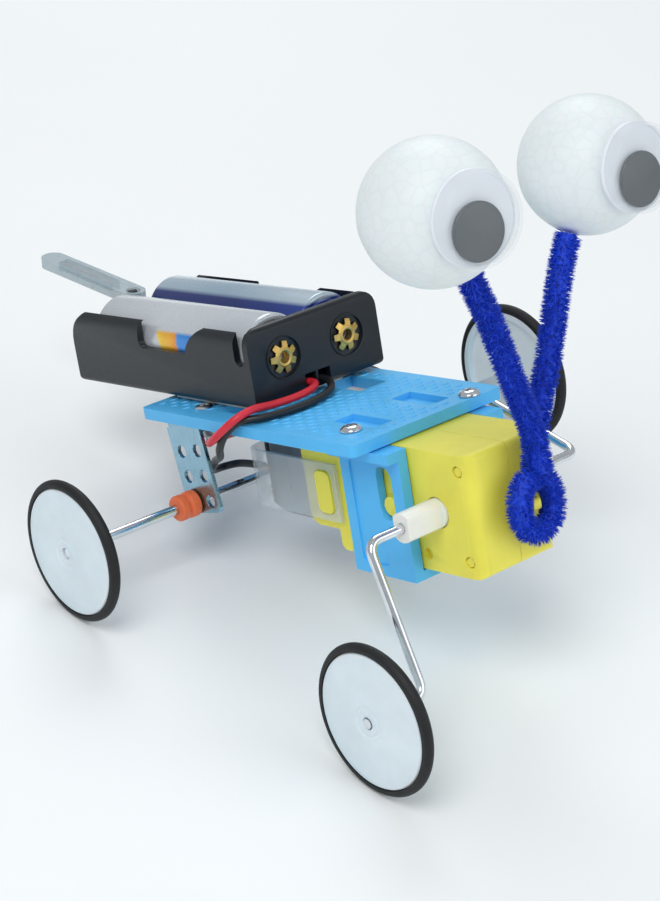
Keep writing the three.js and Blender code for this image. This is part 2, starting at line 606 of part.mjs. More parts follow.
function armEnd(angle) {
  return [SHAFT.x + CRANK.arm * Math.sin(angle), SHAFT.z - CRANK.arm * Math.cos(angle)];
}

function addCrank(car, side, sign, angle) {
  const [x, z] = armEnd(angle);
  const wire = bentWire([
    [SHAFT.x, sign * (SHAFT.reach - 5.5), SHAFT.z],
    [SHAFT.x, sign * CRANK.plane, SHAFT.z],
    [x, sign * CRANK.plane, z],
    [x, sign * (FRONT_WHEEL_Y + 0.7), z],
  ], CRANK.bend);
  addPiece(car, `crank_${side}`, 'wire', tube(wire, CRANK.radius, 8, 26));
  addWheel(car, `front_${side}`, [x, sign * FRONT_WHEEL_Y, z]);
}

// ---------- battery box ----------

function batteryBox() {
  const { x, y, z, wall, round, crown } = BOX;
  const side = roundedRectangle(x, z, [1.2, 1.2, 1.2, round]);
  const end = roundedRectangle(y, z, [1, 1, crown, crown]);
  const outer = overlap(slabY(side, y, 4), slabX(end, x, 3));
  const roomX = [x[0] + wall, x[1] - wall];
  const roomY = [y[0] + wall, y[1] - wall];
  const room = block(roomX, roomY, [z[0] + wall, z[1] + 4]);
  const scoop = new THREE.Shape();
  scoop.moveTo(-5, 11.4);
  scoop.absarc(-3.6, 11.4, 1.4, Math.PI, Math.PI * 1.5);
  scoop.lineTo(9.6, 10);
  scoop.quadraticCurveTo(11.4, 14, 15.6, 15.4);
  scoop.lineTo(19, 18);
  scoop.lineTo(-2, 18);
  scoop.lineTo(-3, 15.8);
  scoop.lineTo(-4.6, 14.8);
  const notch = roundedRectangle([25.2, 27.9], [9.2, 18], [1.3, 1.3, 0, 0]);
  const across = [y[0] - 1, y[1] + 1];
  const tools = [room, slabY(scoop, across, 4), slabY(notch, across, 4)];
  const middle = (y[0] + y[1]) / 2;
  for (const sign of [-1, 1]) {
    const eyeletY = middle + sign * EYELET.y;
    tools.push(rodX(EYELET.recess, [x[1] - 0.45, x[1] + 1], eyeletY, EYELET.z, 16));
    tools.push(rodX(1.75, [x[1] - 3, x[1] + 1], eyeletY, EYELET.z, 12));
  }
  tools.push(block([x[1] - 3, x[1] + 1], [-0.5, 2.1], [z[0] + 0.3, z[0] + 3.4]));
  tools.push(block([x[1] - 3, x[1] + 1], [2.7, 5.6], [z[0] + 0.3, z[0] + 3.4]));
  const { x: shelfX, y: shelfY, z: shelfZ, pin, pinTop } = LEVER_SHELF;
  const shelf = block(shelfX, shelfY, shelfZ);
  const upright = block([x[0] + 0.3, x[0] + wall], shelfY, [z[0] + 7, shelfZ[1]]);
  const pivot = rodZ(pin, [shelfZ[0] + 0.1, pinTop], LEVER.x, LEVER.y, 12);
  return join(cut(outer, ...tools), upright, shelf, pivot);
}

// A cell along X: can, shoulder and positive nub, with its flat end at zero.
function cell() {
  const { radius, length } = CELL;
  return turned([
    [0, 0], [radius - 0.5, 0], [radius, 0.5], [radius, length - 1.2], [radius - 0.7, length - 0.6],
    [2.7, length - 0.6], [2.7, length + 0.7], [0, length + 0.7],
  ], 24).rotateZ(-Math.PI / 2);
}

function eyelet() {
  const { radius, bore } = EYELET;
  return turned([
    [bore, -1.2], [1.5, -1.2], [1.5, 0.15], [radius, 0.15], [radius, 0.4], [1.9, 0.8], [bore, 0.8],
    [bore, -1.2],
  ], 12).rotateZ(-Math.PI / 2);
}

// A conical contact spring along X, wide end at zero.
function contactSpring(length, coils = 2.5) {
  const points = [];
  const count = Math.round(coils * 8);
  for (let k = 0; k <= count; k += 1) {
    const angle = (2 * Math.PI * k) / 8;
    const radius = 3.1 - (1.1 * k) / count;
    points.push([0.35 + ((length - 0.7) * k) / count, radius * Math.cos(angle), radius * Math.sin(angle)]);
  }
  return tube(smoothCurve(points), 0.3, 5, count);
}

function addBatteryBox(car) {
  addPiece(car, 'battery_box', 'black', batteryBox());
  const middle = (BOX.y[0] + BOX.y[1]) / 2;
  const [nearY, farY] = [middle - CELL.offset, middle + CELL.offset];
  const rearWall = BOX.x[0] + BOX.wall;
  const frontWall = BOX.x[1] - BOX.wall;
  const nearStart = frontWall - GAP - CELL.length - 0.7;
  addPiece(car, 'battery_near', 'silverCell', cell(), [nearStart, nearY, CELL.z]);
  const farEnd = rearWall + 0.5 + 2 * GAP + CELL.length + 0.7;
  addPiece(car, 'battery_far', 'navyCell', cell(), [farEnd, farY, CELL.z], [0, 0, Math.PI]);
  const bridgeX = [rearWall + GAP, rearWall + GAP + 0.3];
  const bridge = block(bridgeX, [nearY - 4, farY + 4], [CELL.z - 3.6, CELL.z + 2.6]);
  addPiece(car, 'bridge_plate', 'brass', bridge);
  const rearEnd = [bridgeX[1] + 0.1, nearY, CELL.z];
  const rearRoom = nearStart - 0.15 - rearEnd[0];
  addPiece(car, 'contact_spring_rear', 'wire', contactSpring(rearRoom), rearEnd);
  const frontEnd = [frontWall - 0.15, farY, CELL.z];
  const frontRoom = frontEnd[0] - 0.15 - farEnd;
  addPiece(car, 'contact_spring_front', 'wire', contactSpring(frontRoom), frontEnd, [0, 0, Math.PI]);
  for (const [side, sign] of [['near', -1], ['far', 1]]) {
    const at = [BOX.x[1] - 0.3, middle + sign * EYELET.y, EYELET.z];
    addPiece(car, `contact_eyelet_${side}`, 'brass', eyelet(), at);
  }
}

// The clear lever at the rear of the box, pivoted at its front end and tilted up to the rear.
function addLever(car) {
  const lever = new THREE.Group();
  lever.position.set(LEVER.x, LEVER.y, LEVER.z);
  lever.rotation.y = THREE.MathUtils.degToRad(LEVER.tilt);
  car.add(lever);
  const { length, half, thick } = LEVER;
  const bar = roundedRectangle([-length, half], [-half, half], half - 0.01);
  bar.holes.push(rectanglePath([-length + 6, -6.5], [-1.1, 1.4]));
  bar.holes.push(polygonPath(roundPoints(1.5, 12)));
  addPiece(lever, 'rear_lever', 'clear', slabZ(bar, [0, thick], 5));
  const bladeX = [-length + 6.3, -6.8];
  addPiece(lever, 'lever_blade', 'wire', block(bladeX, [-0.8, -0.3], [0.3, thick - 0.2]));
}

// ---------- stem and eyes ----------

function chenilleStem() {
  const ring = new THREE.TorusGeometry(STEM.ring, STEM.radius, 8, 16).rotateY(Math.PI / 2);
  ring.scale(1, ...STEM.squash).translate(STEM.x, STEM.y, STEM.z);
  return join(ring, ...STALKS.map((route) => tube(smoothCurve(route), STEM.radius, 8, 11)));
}

function domeShell() {
  const { back, backThick, radius, wall, side, rise } = GOOGLY;
  const base = back + backThick + 0.15;
  const rim = radius - wall;
  const arc = (r, height, top) => [1, 0.66, 0.33, 0].map((t) => [r * t, base + height + top * (1 - t * t)]);
  const outer = arc(radius, side, rise);
  const inner = arc(rim, side, rise - wall).reverse();
  return turned([...inner, [rim, base], [radius, base], ...outer], 16);
}

// Each ball is pressed flat where its eye sits, and each pupil lies on the lowest point of its
// dome's rim, seen along the eye's own axis.
function addEye(car, { side, centre, yaw }) {
  const eye = new THREE.Group();
  eye.position.set(...centre);
  eye.rotation.z = THREE.MathUtils.degToRad(yaw);
  car.add(eye);
  const forward = [0, 0, -Math.PI / 2];
  const { back, backThick, radius, wall, pupil } = GOOGLY;
  const { radius: size } = BALL;
  const pressed = block([back - GAP, size + 1], [-size, size], [-size, size]);
  addPiece(eye, `eye_ball_${side}`, 'ball', cut(new THREE.SphereGeometry(size, 18, 12), pressed));
  addPiece(eye, `eye_back_${side}`, 'ball', rodX(radius, [back, back + backThick], 0, 0, 24));
  addPiece(eye, `eye_dome_${side}`, 'clear', domeShell(), [0, 0, 0], forward);
  const drop = radius - wall - pupil - 0.35;
  const start = back + backThick + 0.3;
  const hang = Math.atan(Math.tan(carPitch()) * Math.sin(eye.rotation.z));
  const low = [drop * Math.sin(hang), -drop * Math.cos(hang)];
  addPiece(eye, `eye_pupil_${side}`, 'pupil', rodX(pupil, [start, start + 0.9], ...low, 24));
}

function addLeads(car) {
  const { radius, sides, steps } = LEAD;
  addPiece(car, 'red_lead', 'redLead', tube(smoothCurve(RED_ROUTE), radius, sides, steps));
  addPiece(car, 'black_lead', 'blackLead', tube(smoothCurve(BLACK_ROUTE), radius, sides, steps));
}

// ---------- the whole car ----------

function buildCar() {
  const car = new THREE.Group();
  addDeck(car);
  addRearAxle(car);
  addGearbox(car);
  addMotor(car);
  addCrank(car, 'near', -1, NEAR_ARM);
  addCrank(car, 'far', 1, FAR_ARM);
  addBatteryBox(car);
  addLever(car);
  addPiece(car, 'chenille_stem', 'chenille', chenilleStem());
  for (const eye of EYES) addEye(car, eye);
  addLeads(car);
  return car;
}

// The nose-up angle at which the near front wheel and the rear wheels stand level.
function carPitch() {
  const [wheelX, wheelZ] = armEnd(NEAR_ARM);
  return Math.atan2(AXLE.z - wheelZ, wheelX - AXLE.x);
}

// Pitch the car, then put the middle of its footprint over the origin with the tyres on the ground.
function standOnGround(car) {
  car.rotation.y = -carPitch();
  const box = new THREE.Box3().setFromObject(car, true);
  car.position.set(-(box.min.x + box.max.x) / 2, -(box.min.y + box.max.y) / 2, -box.min.z);
  const group = new THREE.Group();
  group.add(car);
  return group;
}

export default standOnGround(buildCar());
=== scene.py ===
import json
import math
import random

import bmesh
import bpy
from mathutils import Matrix, Vector, noise


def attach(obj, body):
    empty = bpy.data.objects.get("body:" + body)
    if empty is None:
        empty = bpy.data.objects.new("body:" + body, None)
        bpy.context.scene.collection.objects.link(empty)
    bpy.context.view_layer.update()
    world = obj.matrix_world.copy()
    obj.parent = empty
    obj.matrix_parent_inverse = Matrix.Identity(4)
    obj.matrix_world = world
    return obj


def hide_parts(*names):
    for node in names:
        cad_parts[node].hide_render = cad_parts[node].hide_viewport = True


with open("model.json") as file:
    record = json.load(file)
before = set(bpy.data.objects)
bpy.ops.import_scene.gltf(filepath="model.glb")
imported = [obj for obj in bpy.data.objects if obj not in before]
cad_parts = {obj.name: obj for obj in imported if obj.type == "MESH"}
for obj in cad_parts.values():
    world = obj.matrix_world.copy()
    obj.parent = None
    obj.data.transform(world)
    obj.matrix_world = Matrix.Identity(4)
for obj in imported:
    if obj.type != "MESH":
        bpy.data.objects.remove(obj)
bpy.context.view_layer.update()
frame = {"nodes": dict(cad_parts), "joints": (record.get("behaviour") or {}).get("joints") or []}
scene = bpy.context.scene
random.seed(7)

# ---------- the car's own frame ----------

JOINTS = {joint["name"]: joint for joint in frame["joints"]}
AXLE = (12.0, 0.0, -17.6)                 # rear axle's centre
SHAFT = (71.3, 0.0, -13.7)                # output shaft's centre
motor_axis = Vector(JOINTS["motor_spin"]["axis"]).normalized()
PITCH = math.atan2(motor_axis.z, motor_axis.x)
TURN = Matrix.Rotation(-PITCH, 4, "Y")
AXLE_AT = Vector(JOINTS["rear_axle_spin"]["pos_m"])
CAR = Matrix.Translation(AXLE_AT) @ TURN @ Matrix.Scale(0.001, 4) @ Matrix.Translation(-Vector(AXLE))


def at(x, y, z):
    return CAR @ Vector((x, y, z))


# ---------- camera ----------

CAMERA_AT = (356.07, -254.43, 112.36)
CAMERA_RIGHT = Vector((0.646, 0.747, -0.154)).normalized()
CAMERA_UP = Vector((-0.122, 0.301, 0.946))
FOCAL = 91.6                              # for a 36 mm sensor along the frame's long side


def add_camera():
    back = CAMERA_RIGHT.cross(CAMERA_UP).normalized()
    up = back.cross(CAMERA_RIGHT)
    pose = Matrix((CAMERA_RIGHT, up, back)).transposed().to_4x4()
    data = bpy.data.cameras.new("camera")
    data.lens = FOCAL
    data.sensor_width = 36
    data.clip_start = 0.01
    camera = bpy.data.objects.new("camera", data)
    scene.collection.objects.link(camera)
    camera.matrix_world = Matrix.Translation(at(*CAMERA_AT)) @ TURN @ pose
    scene.camera = camera


# ---------- materials ----------

def srgb(r, g, b):
    def linear(value):
        value /= 255
        return value / 12.92 if value <= 0.04045 else ((value + 0.055) / 1.055) ** 2.4
    return (linear(r), linear(g), linear(b), 1)


def shade_of(color, factor):
    return tuple(min(1, channel * factor) for channel in color[:3]) + (1,)


class Finish:
    """A material built from nodes, in millimetres of the object's own space."""

    def __init__(self, name, roughness, metallic=0.0, **constants):
        self.material = bpy.data.materials.new(name)
        self.material.use_nodes = True
        self.nodes = self.material.node_tree.nodes
        self.links = self.material.node_tree.links
        self.shader = self.nodes["Principled BSDF"]
        self.shader.inputs["Roughness"].default_value = roughness
        self.shader.inputs["Metallic"].default_value = metallic
        for socket, value in constants.items():
            self.shader.inputs[socket.replace("_", " ")].default_value = value
        coordinates = self.nodes.new("ShaderNodeTexCoord")
        scale = self.nodes.new("ShaderNodeMapping")
        scale.inputs["Scale"].default_value = (1000, 1000, 1000)
        self.link(coordinates.outputs["Object"], scale.inputs["Vector"])
        self.space = scale.outputs["Vector"]
        self.normal = None

    def link(self, a, b):
        self.links.new(a, b)

    def noise(self, per_mm, detail=3.0, roughness=0.55, stretch=None):
        vector = self.space
        if stretch:
            mapping = self.nodes.new("ShaderNodeMapping")
            mapping.inputs["Scale"].default_value = stretch
            self.link(vector, mapping.inputs["Vector"])
            vector = mapping.outputs["Vector"]
        node = self.nodes.new("ShaderNodeTexNoise")
        node.inputs["Scale"].default_value = per_mm
        node.inputs["Detail"].default_value = detail
        node.inputs["Roughness"].default_value = roughness
        self.link(vector, node.inputs["Vector"])
        return node.outputs["Fac"]

    def ramp(self, factor, *stops):
        node = self.nodes.new("ShaderNodeValToRGB")
        elements = node.color_ramp.elements
        while len(elements) < len(stops):
            elements.new(0.5)
        for element, (position, color) in zip(elements, stops):
            element.position = position
            element.color = color
        self.link(factor, node.inputs["Fac"])
        return node.outputs["Color"]

    def mix(self, factor, a, b):
        node = self.nodes.new("ShaderNodeMix")
        node.data_type = "RGBA"
        self.link(factor, node.inputs["Factor"])
        for value, socket in ((a, node.inputs[6]), (b, node.inputs[7])):
            if isinstance(value, tuple):
                socket.default_value = value
            else:
                self.link(value, socket)
        return node.outputs[2]

    def measured(self, direction, origin, low, high):
        """The distance along a direction from a point, in millimetres, scaled to 0 at low and 1 at high."""
        dot = self.nodes.new("ShaderNodeVectorMath")
        dot.operation = "DOT_PRODUCT"
        dot.inputs[1].default_value = direction
        self.link(self.space, dot.inputs[0])
        start = 1000 * Vector(direction).dot(origin)
        node = self.nodes.new("ShaderNodeMapRange")
        node.inputs["From Min"].default_value = start + low
        node.inputs["From Max"].default_value = start + high
        self.link(dot.outputs["Value"], node.inputs["Value"])
        return node.outputs["Result"]

    def color(self, output):
        self.link(output, self.shader.inputs["Base Color"])
        return self

    def mottle(self, color, amount, per_mm):
        low, high = shade_of(color, 1 - amount), shade_of(color, 1 + amount)
        return self.color(self.ramp(self.noise(per_mm), (0.3, low), (0.7, high)))

    def rough(self, low, high, per_mm, stretch=None):
        node = self.nodes.new("ShaderNodeMapRange")
        node.inputs["To Min"].default_value = low
        node.inputs["To Max"].default_value = high
        self.link(self.noise(per_mm, 4, 0.6, stretch), node.inputs["Value"])
        self.link(node.outputs["Result"], self.shader.inputs["Roughness"])
        return self

    def bump(self, height, depth_mm, strength=1.0):
        node = self.nodes.new("ShaderNodeBump")
        node.inputs["Strength"].default_value = strength
        node.inputs["Distance"].default_value = depth_mm / 1000
        self.link(height, node.inputs["Height"])
        if self.normal:
            self.link(self.normal, node.inputs["Normal"])
        self.normal = node.outputs["Normal"]
        self.link(self.normal, self.shader.inputs["Normal"])
        return self


def moulded(name, color, roughness, grain=0.02, **constants):
    finish = Finish(name, roughness, **constants).mottle(color, 0.05, 0.12)
    finish.rough(roughness - 0.07, roughness + 0.1, 0.9)
    return finish.bump(finish.noise(3.5, 5), grain, 0.6).material


def metal(name, color, roughness, stretch=(1, 1, 1), scratch=0.008):
    finish = Finish(name, roughness, 1.0).mottle(color, 0.09, 0.3)
    finish.rough(roughness * 0.7, roughness * 1.6, 1.1, stretch)
    return finish.bump(finish.noise(4, 5, 0.6, stretch), scratch, 0.5).material


def clear(name, tint, roughness, frost, alpha):
    finish = Finish(name, roughness, IOR=1.49, Alpha=alpha).mottle(tint, 0.04, 0.2)
    finish.rough(roughness, roughness + frost, 0.8)
    return finish.bump(finish.noise(1.4, 3), 0.02, 0.5).material


def cell_print_and_sheen(name, print_and_painted_sheen, low, high, edge):
    """A printed sleeve: print patches along the cell, and above a height in the car's frame a painted sheen, a
    painted highlight colour along the cell's top.
    """
    finish = Finish(name, 0.25, 0.35, Coat_Weight=0.5, Coat_Roughness=0.12)
    lengthways = finish.measured((math.cos(PITCH), 0, math.sin(PITCH)), at(0, 0, 0), low, high)
    # painted highlight: above this height the cell's top takes the painted sheen colour instead of its print
    height = finish.measured((-math.sin(PITCH), 0, math.cos(PITCH)), at(0, 0, 0), edge - 0.3, edge + 0.3)
    wave = finish.nodes.new("ShaderNodeMath")
    wave.operation = "MULTIPLY_ADD"
    wave.inputs[1].default_value = 0.16
    finish.link(finish.noise(0.16, 1), wave.inputs[0])
    finish.link(lengthways, wave.inputs[2])
    print_color = finish.ramp(wave.outputs["Value"], *print_and_painted_sheen[0])
    # the painted sheen colour for the cell's top, a painted highlight
    painted_sheen_color = finish.ramp(wave.outputs["Value"], *print_and_painted_sheen[1])
    finish.color(finish.mix(height, print_color, painted_sheen_color))
    finish.rough(0.18, 0.34, 0.5)
    return finish.bump(finish.noise(0.9, 2), 0.01, 0.4).material


def foam(name, color):
    """Pressed bead foam: cells about 2.5 mm across under a smooth skin."""
    finish = Finish(name, 0.5, Subsurface_Weight=0.15, Subsurface_Scale=0.002)
    cells = finish.nodes.new("ShaderNodeTexVoronoi")
    cells.feature = "DISTANCE_TO_EDGE"
    cells.inputs["Scale"].default_value = 0.42
    finish.link(finish.space, cells.inputs["Vector"])
    edge = finish.ramp(cells.outputs["Distance"], (0.0, shade_of(color, 0.965)), (0.12, color))
    finish.color(edge).rough(0.42, 0.58, 0.6)
    seam = finish.ramp(cells.outputs["Distance"], (0.0, (0, 0, 0, 1)), (0.1, (1, 1, 1, 1)))
    finish.bump(seam, 0.03, 0.5)
    return finish.bump(finish.noise(2.2, 4), 0.02, 0.5).material


def bristle(name, color):
    finish = Finish(name, 0.6)
    tones = [(0.2, shade_of(color, 0.45)), (0.5, color), (0.8, shade_of(color, 1.45))]
    finish.color(finish.ramp(finish.noise(1.6, 4), *tones))
    return finish.bump(finish.noise(6, 2), 0.05, 0.6).material


def make_materials():
    printed = [
        (0.0, srgb(206, 212, 218)), (0.5, srgb(206, 212, 218)), (0.52, srgb(250, 206, 40)),
        (0.62, srgb(240, 150, 30)), (0.65, srgb(60, 150, 230)), (0.8, srgb(36, 116, 215)),
        (0.83, srgb(208, 214, 220)),
    ]
    # silver: painted sheen over the top of the silver cell, a painted highlight that covers its print
    silver = [(0.0, srgb(196, 202, 208)), (0.5, srgb(214, 219, 224)), (1.0, srgb(200, 206, 212))]
    navy = [(0.0, srgb(20, 44, 118)), (0.6, srgb(17, 40, 110)), (1.0, srgb(26, 60, 150))]
    # painted sheen along the top of the navy cell, a painted highlight
    navy_painted_sheen = [(0.0, srgb(176, 196, 210)), (0.5, srgb(150, 176, 196)), (1.0, srgb(186, 202, 214))]
    return {
        "deck": moulded("deck_plastic", srgb(84, 190, 250), 0.4, Subsurface_Weight=0.08, Subsurface_Scale=0.001),
        "gearbox": moulded("gearbox_plastic", srgb(244, 232, 84), 0.42, Subsurface_Weight=0.06),
        "dark": moulded("dark_plastic", srgb(20, 27, 33), 0.34, 0.03),
        "bracket": metal("nickel_sheet", srgb(150, 186, 204), 0.24, (6, 1, 1)),
        "steel": metal("bright_steel", srgb(222, 226, 230), 0.12, (1, 5, 1)),
        "can": metal("motor_can_steel", srgb(118, 130, 140), 0.32, (6, 1, 1)),
        "bush": moulded("bush_plastic", srgb(238, 110, 62), 0.45, Subsurface_Weight=0.1),
        "disc": moulded("wheel_plastic", srgb(222, 234, 240), 0.4, Subsurface_Weight=0.15),
        "tyre": moulded("tyre_rubber", srgb(11, 14, 17), 0.6, 0.04),
        "clear": clear("clear_plastic", srgb(226, 234, 238), 0.08, 0.12, 0.32),
        "dome": clear("dome_plastic", srgb(210, 220, 226), 0.03, 0.04, 0.1),
        "lever": clear("lever_plastic", srgb(168, 186, 194), 0.2, 0.2, 0.62),
        "nylon": moulded("nylon", srgb(240, 240, 234), 0.4, Subsurface_Weight=0.35, Subsurface_Scale=0.002),
        "brass": metal("brass", srgb(226, 190, 110), 0.36),
        "tape": moulded("foam_tape", srgb(226, 224, 212), 0.9, 0.08),
        # the last number is the height above which the painted sheen covers each cell's top
        "cell_silver": cell_print_and_sheen("cell_silver_print_and_sheen", (printed, silver), -22, 28, 13.1),
        "cell_navy": cell_print_and_sheen("cell_navy_print_and_sheen", (navy, navy_painted_sheen), -22, 28, 15.6),
        "foam": foam("bead_foam", srgb(232, 239, 240)),
        "white": moulded("eye_white_plastic", srgb(232, 236, 242), 0.4),
        "pupil": moulded("pupil_plastic", srgb(10, 13, 17), 0.35),
        "chenille": bristle("chenille_fibre", srgb(2, 66, 214)),
        "red": moulded("red_insulation", srgb(214, 40, 58), 0.38),
        "black": moulded("black_insulation", srgb(26, 30, 33), 0.36),
    }


# ---------- meshes ----------

def add_piece(name, vertices, faces, finish, body, slot, replaces=(), sharp=35):
    """A mesh piece from points in the car's frame, in millimetres."""
    mesh = bpy.data.meshes.new(name)
    mesh.from_pydata([at(*v) for v in vertices], [], faces)
    settle(name, mesh, finish, body, replaces, sharp)


def settle(name, mesh, finish, body, replaces=(), sharp=35):
    edit = bmesh.new()
    edit.from_mesh(mesh)
    bmesh.ops.recalc_face_normals(edit, faces=edit.faces)
    edit.to_mesh(mesh)
    edit.free()
    mesh.shade_smooth()
    mesh.set_sharp_from_angle(angle=math.radians(sharp))
    mesh.materials.clear()
    mesh.materials.append(MATERIAL[finish])
    piece = bpy.data.objects.new(name, mesh)
    scene.collection.objects.link(piece)
    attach(piece, body)
    if replaces:
        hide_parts(*replaces)
    return piece


def frame_of(centre, axis, up=(0, 0, 1)):
    """Three directions: along the axis, and two across it."""
    along = Vector(axis).normalized()
    across = Vector(up).cross(along)
    if across.length < 1e-6:
        across = Vector((1, 0, 0)).cross(along)
    across.normalize()
    return Vector(centre), along, across, along.cross(across)


def lathe(profile, centre, axis, sides=64, bump=None):
    """Points [radius, height] turned about an axis; radius zero closes an end."""
    middle, along, across, third = frame_of(centre, axis)
    vertices, rings, faces = [], [], []
    for radius, height in profile:
        if radius < 1e-6:
            rings.append([len(vertices)])
            vertices.append(middle + along * height)
            continue
        start = len(vertices)
        for k in range(sides):
            angle = 2 * math.pi * k / sides
            r, h = radius, height
            if bump:
                r, h = bump(radius, height, angle)
            vertices.append(middle + along * h + (across * math.cos(angle) + third * math.sin(angle)) * r)
        rings.append(list(range(start, start + sides)))
    for a, b in zip(rings, rings[1:]):
        for k in range(sides):
            n = (k + 1) % sides
            quad = [a[k % len(a)], a[n % len(a)], b[n % len(b)], b[k % len(b)]]
            face = list(dict.fromkeys(quad))
            if len(face) > 2:
                faces.append(face)
    return vertices, faces


def closed_lathe(profile, centre, axis, sides=64):
    """A ring: the profile's last point joins its first."""
    vertices, faces = lathe(profile, centre, axis, sides)
    last = len(vertices) - sides
    for k in range(sides):
        n = (k + 1) % sides
        faces.append([last + k, last + n, n, k])
    return vertices, faces


def rounded(points, radius, steps=4):
    """A polyline with its inner corners rounded."""
    result = [points[0]]
    for before, corner, after in zip(points, points[1:], points[2:]):
        p, c, n = (Vector(q) for q in (before, corner, after))
        reach = min(radius, (p - c).length * 0.45, (n - c).length * 0.45)
        a, b = c + (p - c).normalized() * reach, c + (n - c).normalized() * reach
        for k in range(steps + 1):
            t = k / steps
            result.append(tuple(a * (1 - t) ** 2 + c * 2 * t * (1 - t) + b * t * t))
    return result + [points[-1]]


def sweep(points, radius, sides=16, closed=False):
    """A round tube along points, with flat ends unless it is closed."""
    points = [Vector(p) for p in points]
    count = len(points)
    vertices, faces = [], []
    across = None
    for k, point in enumerate(points):
        before = points[k - 1] if k or closed else point
        after = points[(k + 1) % count] if k < count - 1 or closed else point
        along = (after - before).normalized()
        if across is None:
            across = along.orthogonal().normalized()
        across = (across - along * across.dot(along)).normalized()
        third = along.cross(across)
        size = radius(k / max(1, count - 1)) if callable(radius) else radius
        for s in range(sides):
            angle = 2 * math.pi * s / sides
            vertices.append(point + (across * math.cos(angle) + third * math.sin(angle)) * size)
    runs = count if closed else count - 1
    for k in range(runs):
        a, b = k * sides, ((k + 1) % count) * sides
        for s in range(sides):
            n = (s + 1) % sides
            faces.append([a + s, a + n, b + n, b + s])
    if not closed:
        faces.append(list(range(sides))[::-1])
        faces.append(list(range((count - 1) * sides, count * sides)))
    return vertices, faces


def smooth_path(points, per_run):
    """A centripetal Catmull-Rom curve through the points."""
    points = [Vector(p) for p in points]
    padded = [2 * points[0] - points[1], *points, 2 * points[-1] - points[-2]]
    result = []
    for p0, p1, p2, p3 in zip(padded, padded[1:], padded[2:], padded[3:]):
        t1 = (p1 - p0).length ** 0.5
        t2 = t1 + (p2 - p1).length ** 0.5
        t3 = t2 + (p3 - p2).length ** 0.5
        for k in range(per_run):
            t = t1 + (t2 - t1) * k / per_run
            a1 = p0 * ((t1 - t) / t1) + p1 * (t / t1)
            a2 = p1 * ((t2 - t) / (t2 - t1)) + p2 * ((t - t1) / (t2 - t1))
            a3 = p2 * ((t3 - t) / (t3 - t2)) + p3 * ((t - t2) / (t3 - t2))
            b1 = a1 * ((t2 - t) / t2) + a2 * (t / t2)
            b2 = a2 * ((t3 - t) / (t3 - t1)) + a3 * ((t - t1) / (t3 - t1))
            result.append(b1 * ((t2 - t) / (t2 - t1)) + b2 * ((t - t1) / (t2 - t1)))
    return [*result, points[-1]]


def merged(*parts):
    """Several vertex and face lists as one."""
    vertices, faces = [], []
    for part_vertices, part_faces in parts:
        start = len(vertices)
        vertices.extend(part_vertices)
        faces.extend([[i + start for i in face] for face in part_faces])
    return vertices, faces


def rounded_copy(node, finish, body, edge):
    """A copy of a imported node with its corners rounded, which stands for the node."""
    mesh = frame["nodes"][node].data.copy()
    edit = bmesh.new()
    edit.from_mesh(mesh)
    bmesh.ops.remove_doubles(edit, verts=edit.verts, dist=2e-6)
    bmesh.ops.dissolve_limit(edit, angle_limit=math.radians(2), verts=edit.verts, edges=edit.edges)
    edit.to_mesh(mesh)
    edit.free()
    piece = settle(node + "_shell", mesh, finish, body, [node], 42)
    bevel = piece.modifiers.new("edge", "BEVEL")
    bevel.width = edge / 1000
    bevel.segments = 3
    bevel.limit_method = "ANGLE"
    bevel.angle_limit = math.radians(42)
    bevel.harden_normals = False


def flat_plate(name, outline, holes, thick, plane, finish, body, replaces, edge=0.08):
    """A sheet cut from an outline with holes, standing on a plane given by a matrix."""
    data = bpy.data.curves.new(name, "CURVE")
    data.dimensions = "2D"
    data.fill_mode = "BOTH"
    data.extrude = thick / 2 - edge
    data.bevel_depth = edge
    data.offset = -edge
    for loop in [outline, *holes]:
        spline = data.splines.new("POLY")
        spline.points.add(len(loop) - 1)
        for point, (a, b) in zip(spline.points, loop):
            point.co = (a, b, 0, 1)
        spline.use_cyclic_u = True
    holder = bpy.data.objects.new(name, data)
    scene.collection.objects.link(holder)
    graph = bpy.context.evaluated_depsgraph_get()
    mesh = bpy.data.meshes.new_from_object(holder.evaluated_get(graph))
    bpy.data.objects.remove(holder)
    mesh.transform(CAR @ plane)
    edit = bmesh.new()
    edit.from_mesh(mesh)
    bmesh.ops.remove_doubles(edit, verts=edit.verts, dist=1e-6)
    edit.to_mesh(mesh)
    edit.free()
    settle(name, mesh, finish, body, replaces)


def circle(radius, centre=(0, 0), sides=32):
    angles = [2 * math.pi * k / sides for k in range(sides)]
    return [(centre[0] + radius * math.cos(a), centre[1] + radius * math.sin(a)) for a in angles]


# ---------- leads ----------

LEAD_RADIUS = 0.75
RED_ROUTE = [
    (28.4, 0.7, 2.6), (30.6, 0.6, 2.6), (32.2, -1.4, 2.3), (32.6, -5.5, 2), (32.4, -11, 2.1),
    (32.7, -16.4, 2.7), (32.1, -19.9, 1.9), (29.6, -21.8, -0.3), (26.2, -21.8, -2.5), (22.9, -20, -3.7),
    (20.2, -16.2, -4.4), (18, -12, -5.2), (16, -8.6, -6), (13.8, -5, -6.8), (12, -1, -8.4), (11.2, 2.4, -10.8),
    (12.2, 4.6, -12.9), (15, 5, -13.7), (18.1, 5, -13.7),
]
BLACK_ROUTE = [
    (28.4, 3.9, 2.4), (30.8, 3.8, 2.2), (33.4, 2, 1.5), (35.2, -3, 1), (35.4, -9.5, 0.95), (34, -14.8, 0.95),
    (31.2, -18.7, 0.85), (28.4, -20, -1.4), (25.2, -19.5, -4.6), (22.2, -17.6, -7), (19.4, -15.8, -8.4),
    (16.2, -14.6, -9.8), (13.6, -13.8, -11.6), (11.2, -12.4, -13), (9.4, -10.2, -13.9), (8.8, -7.8, -14.2),
    (10.4, -5.7, -14), (13.8, -5, -13.8), (18.1, -5, -13.7),
]


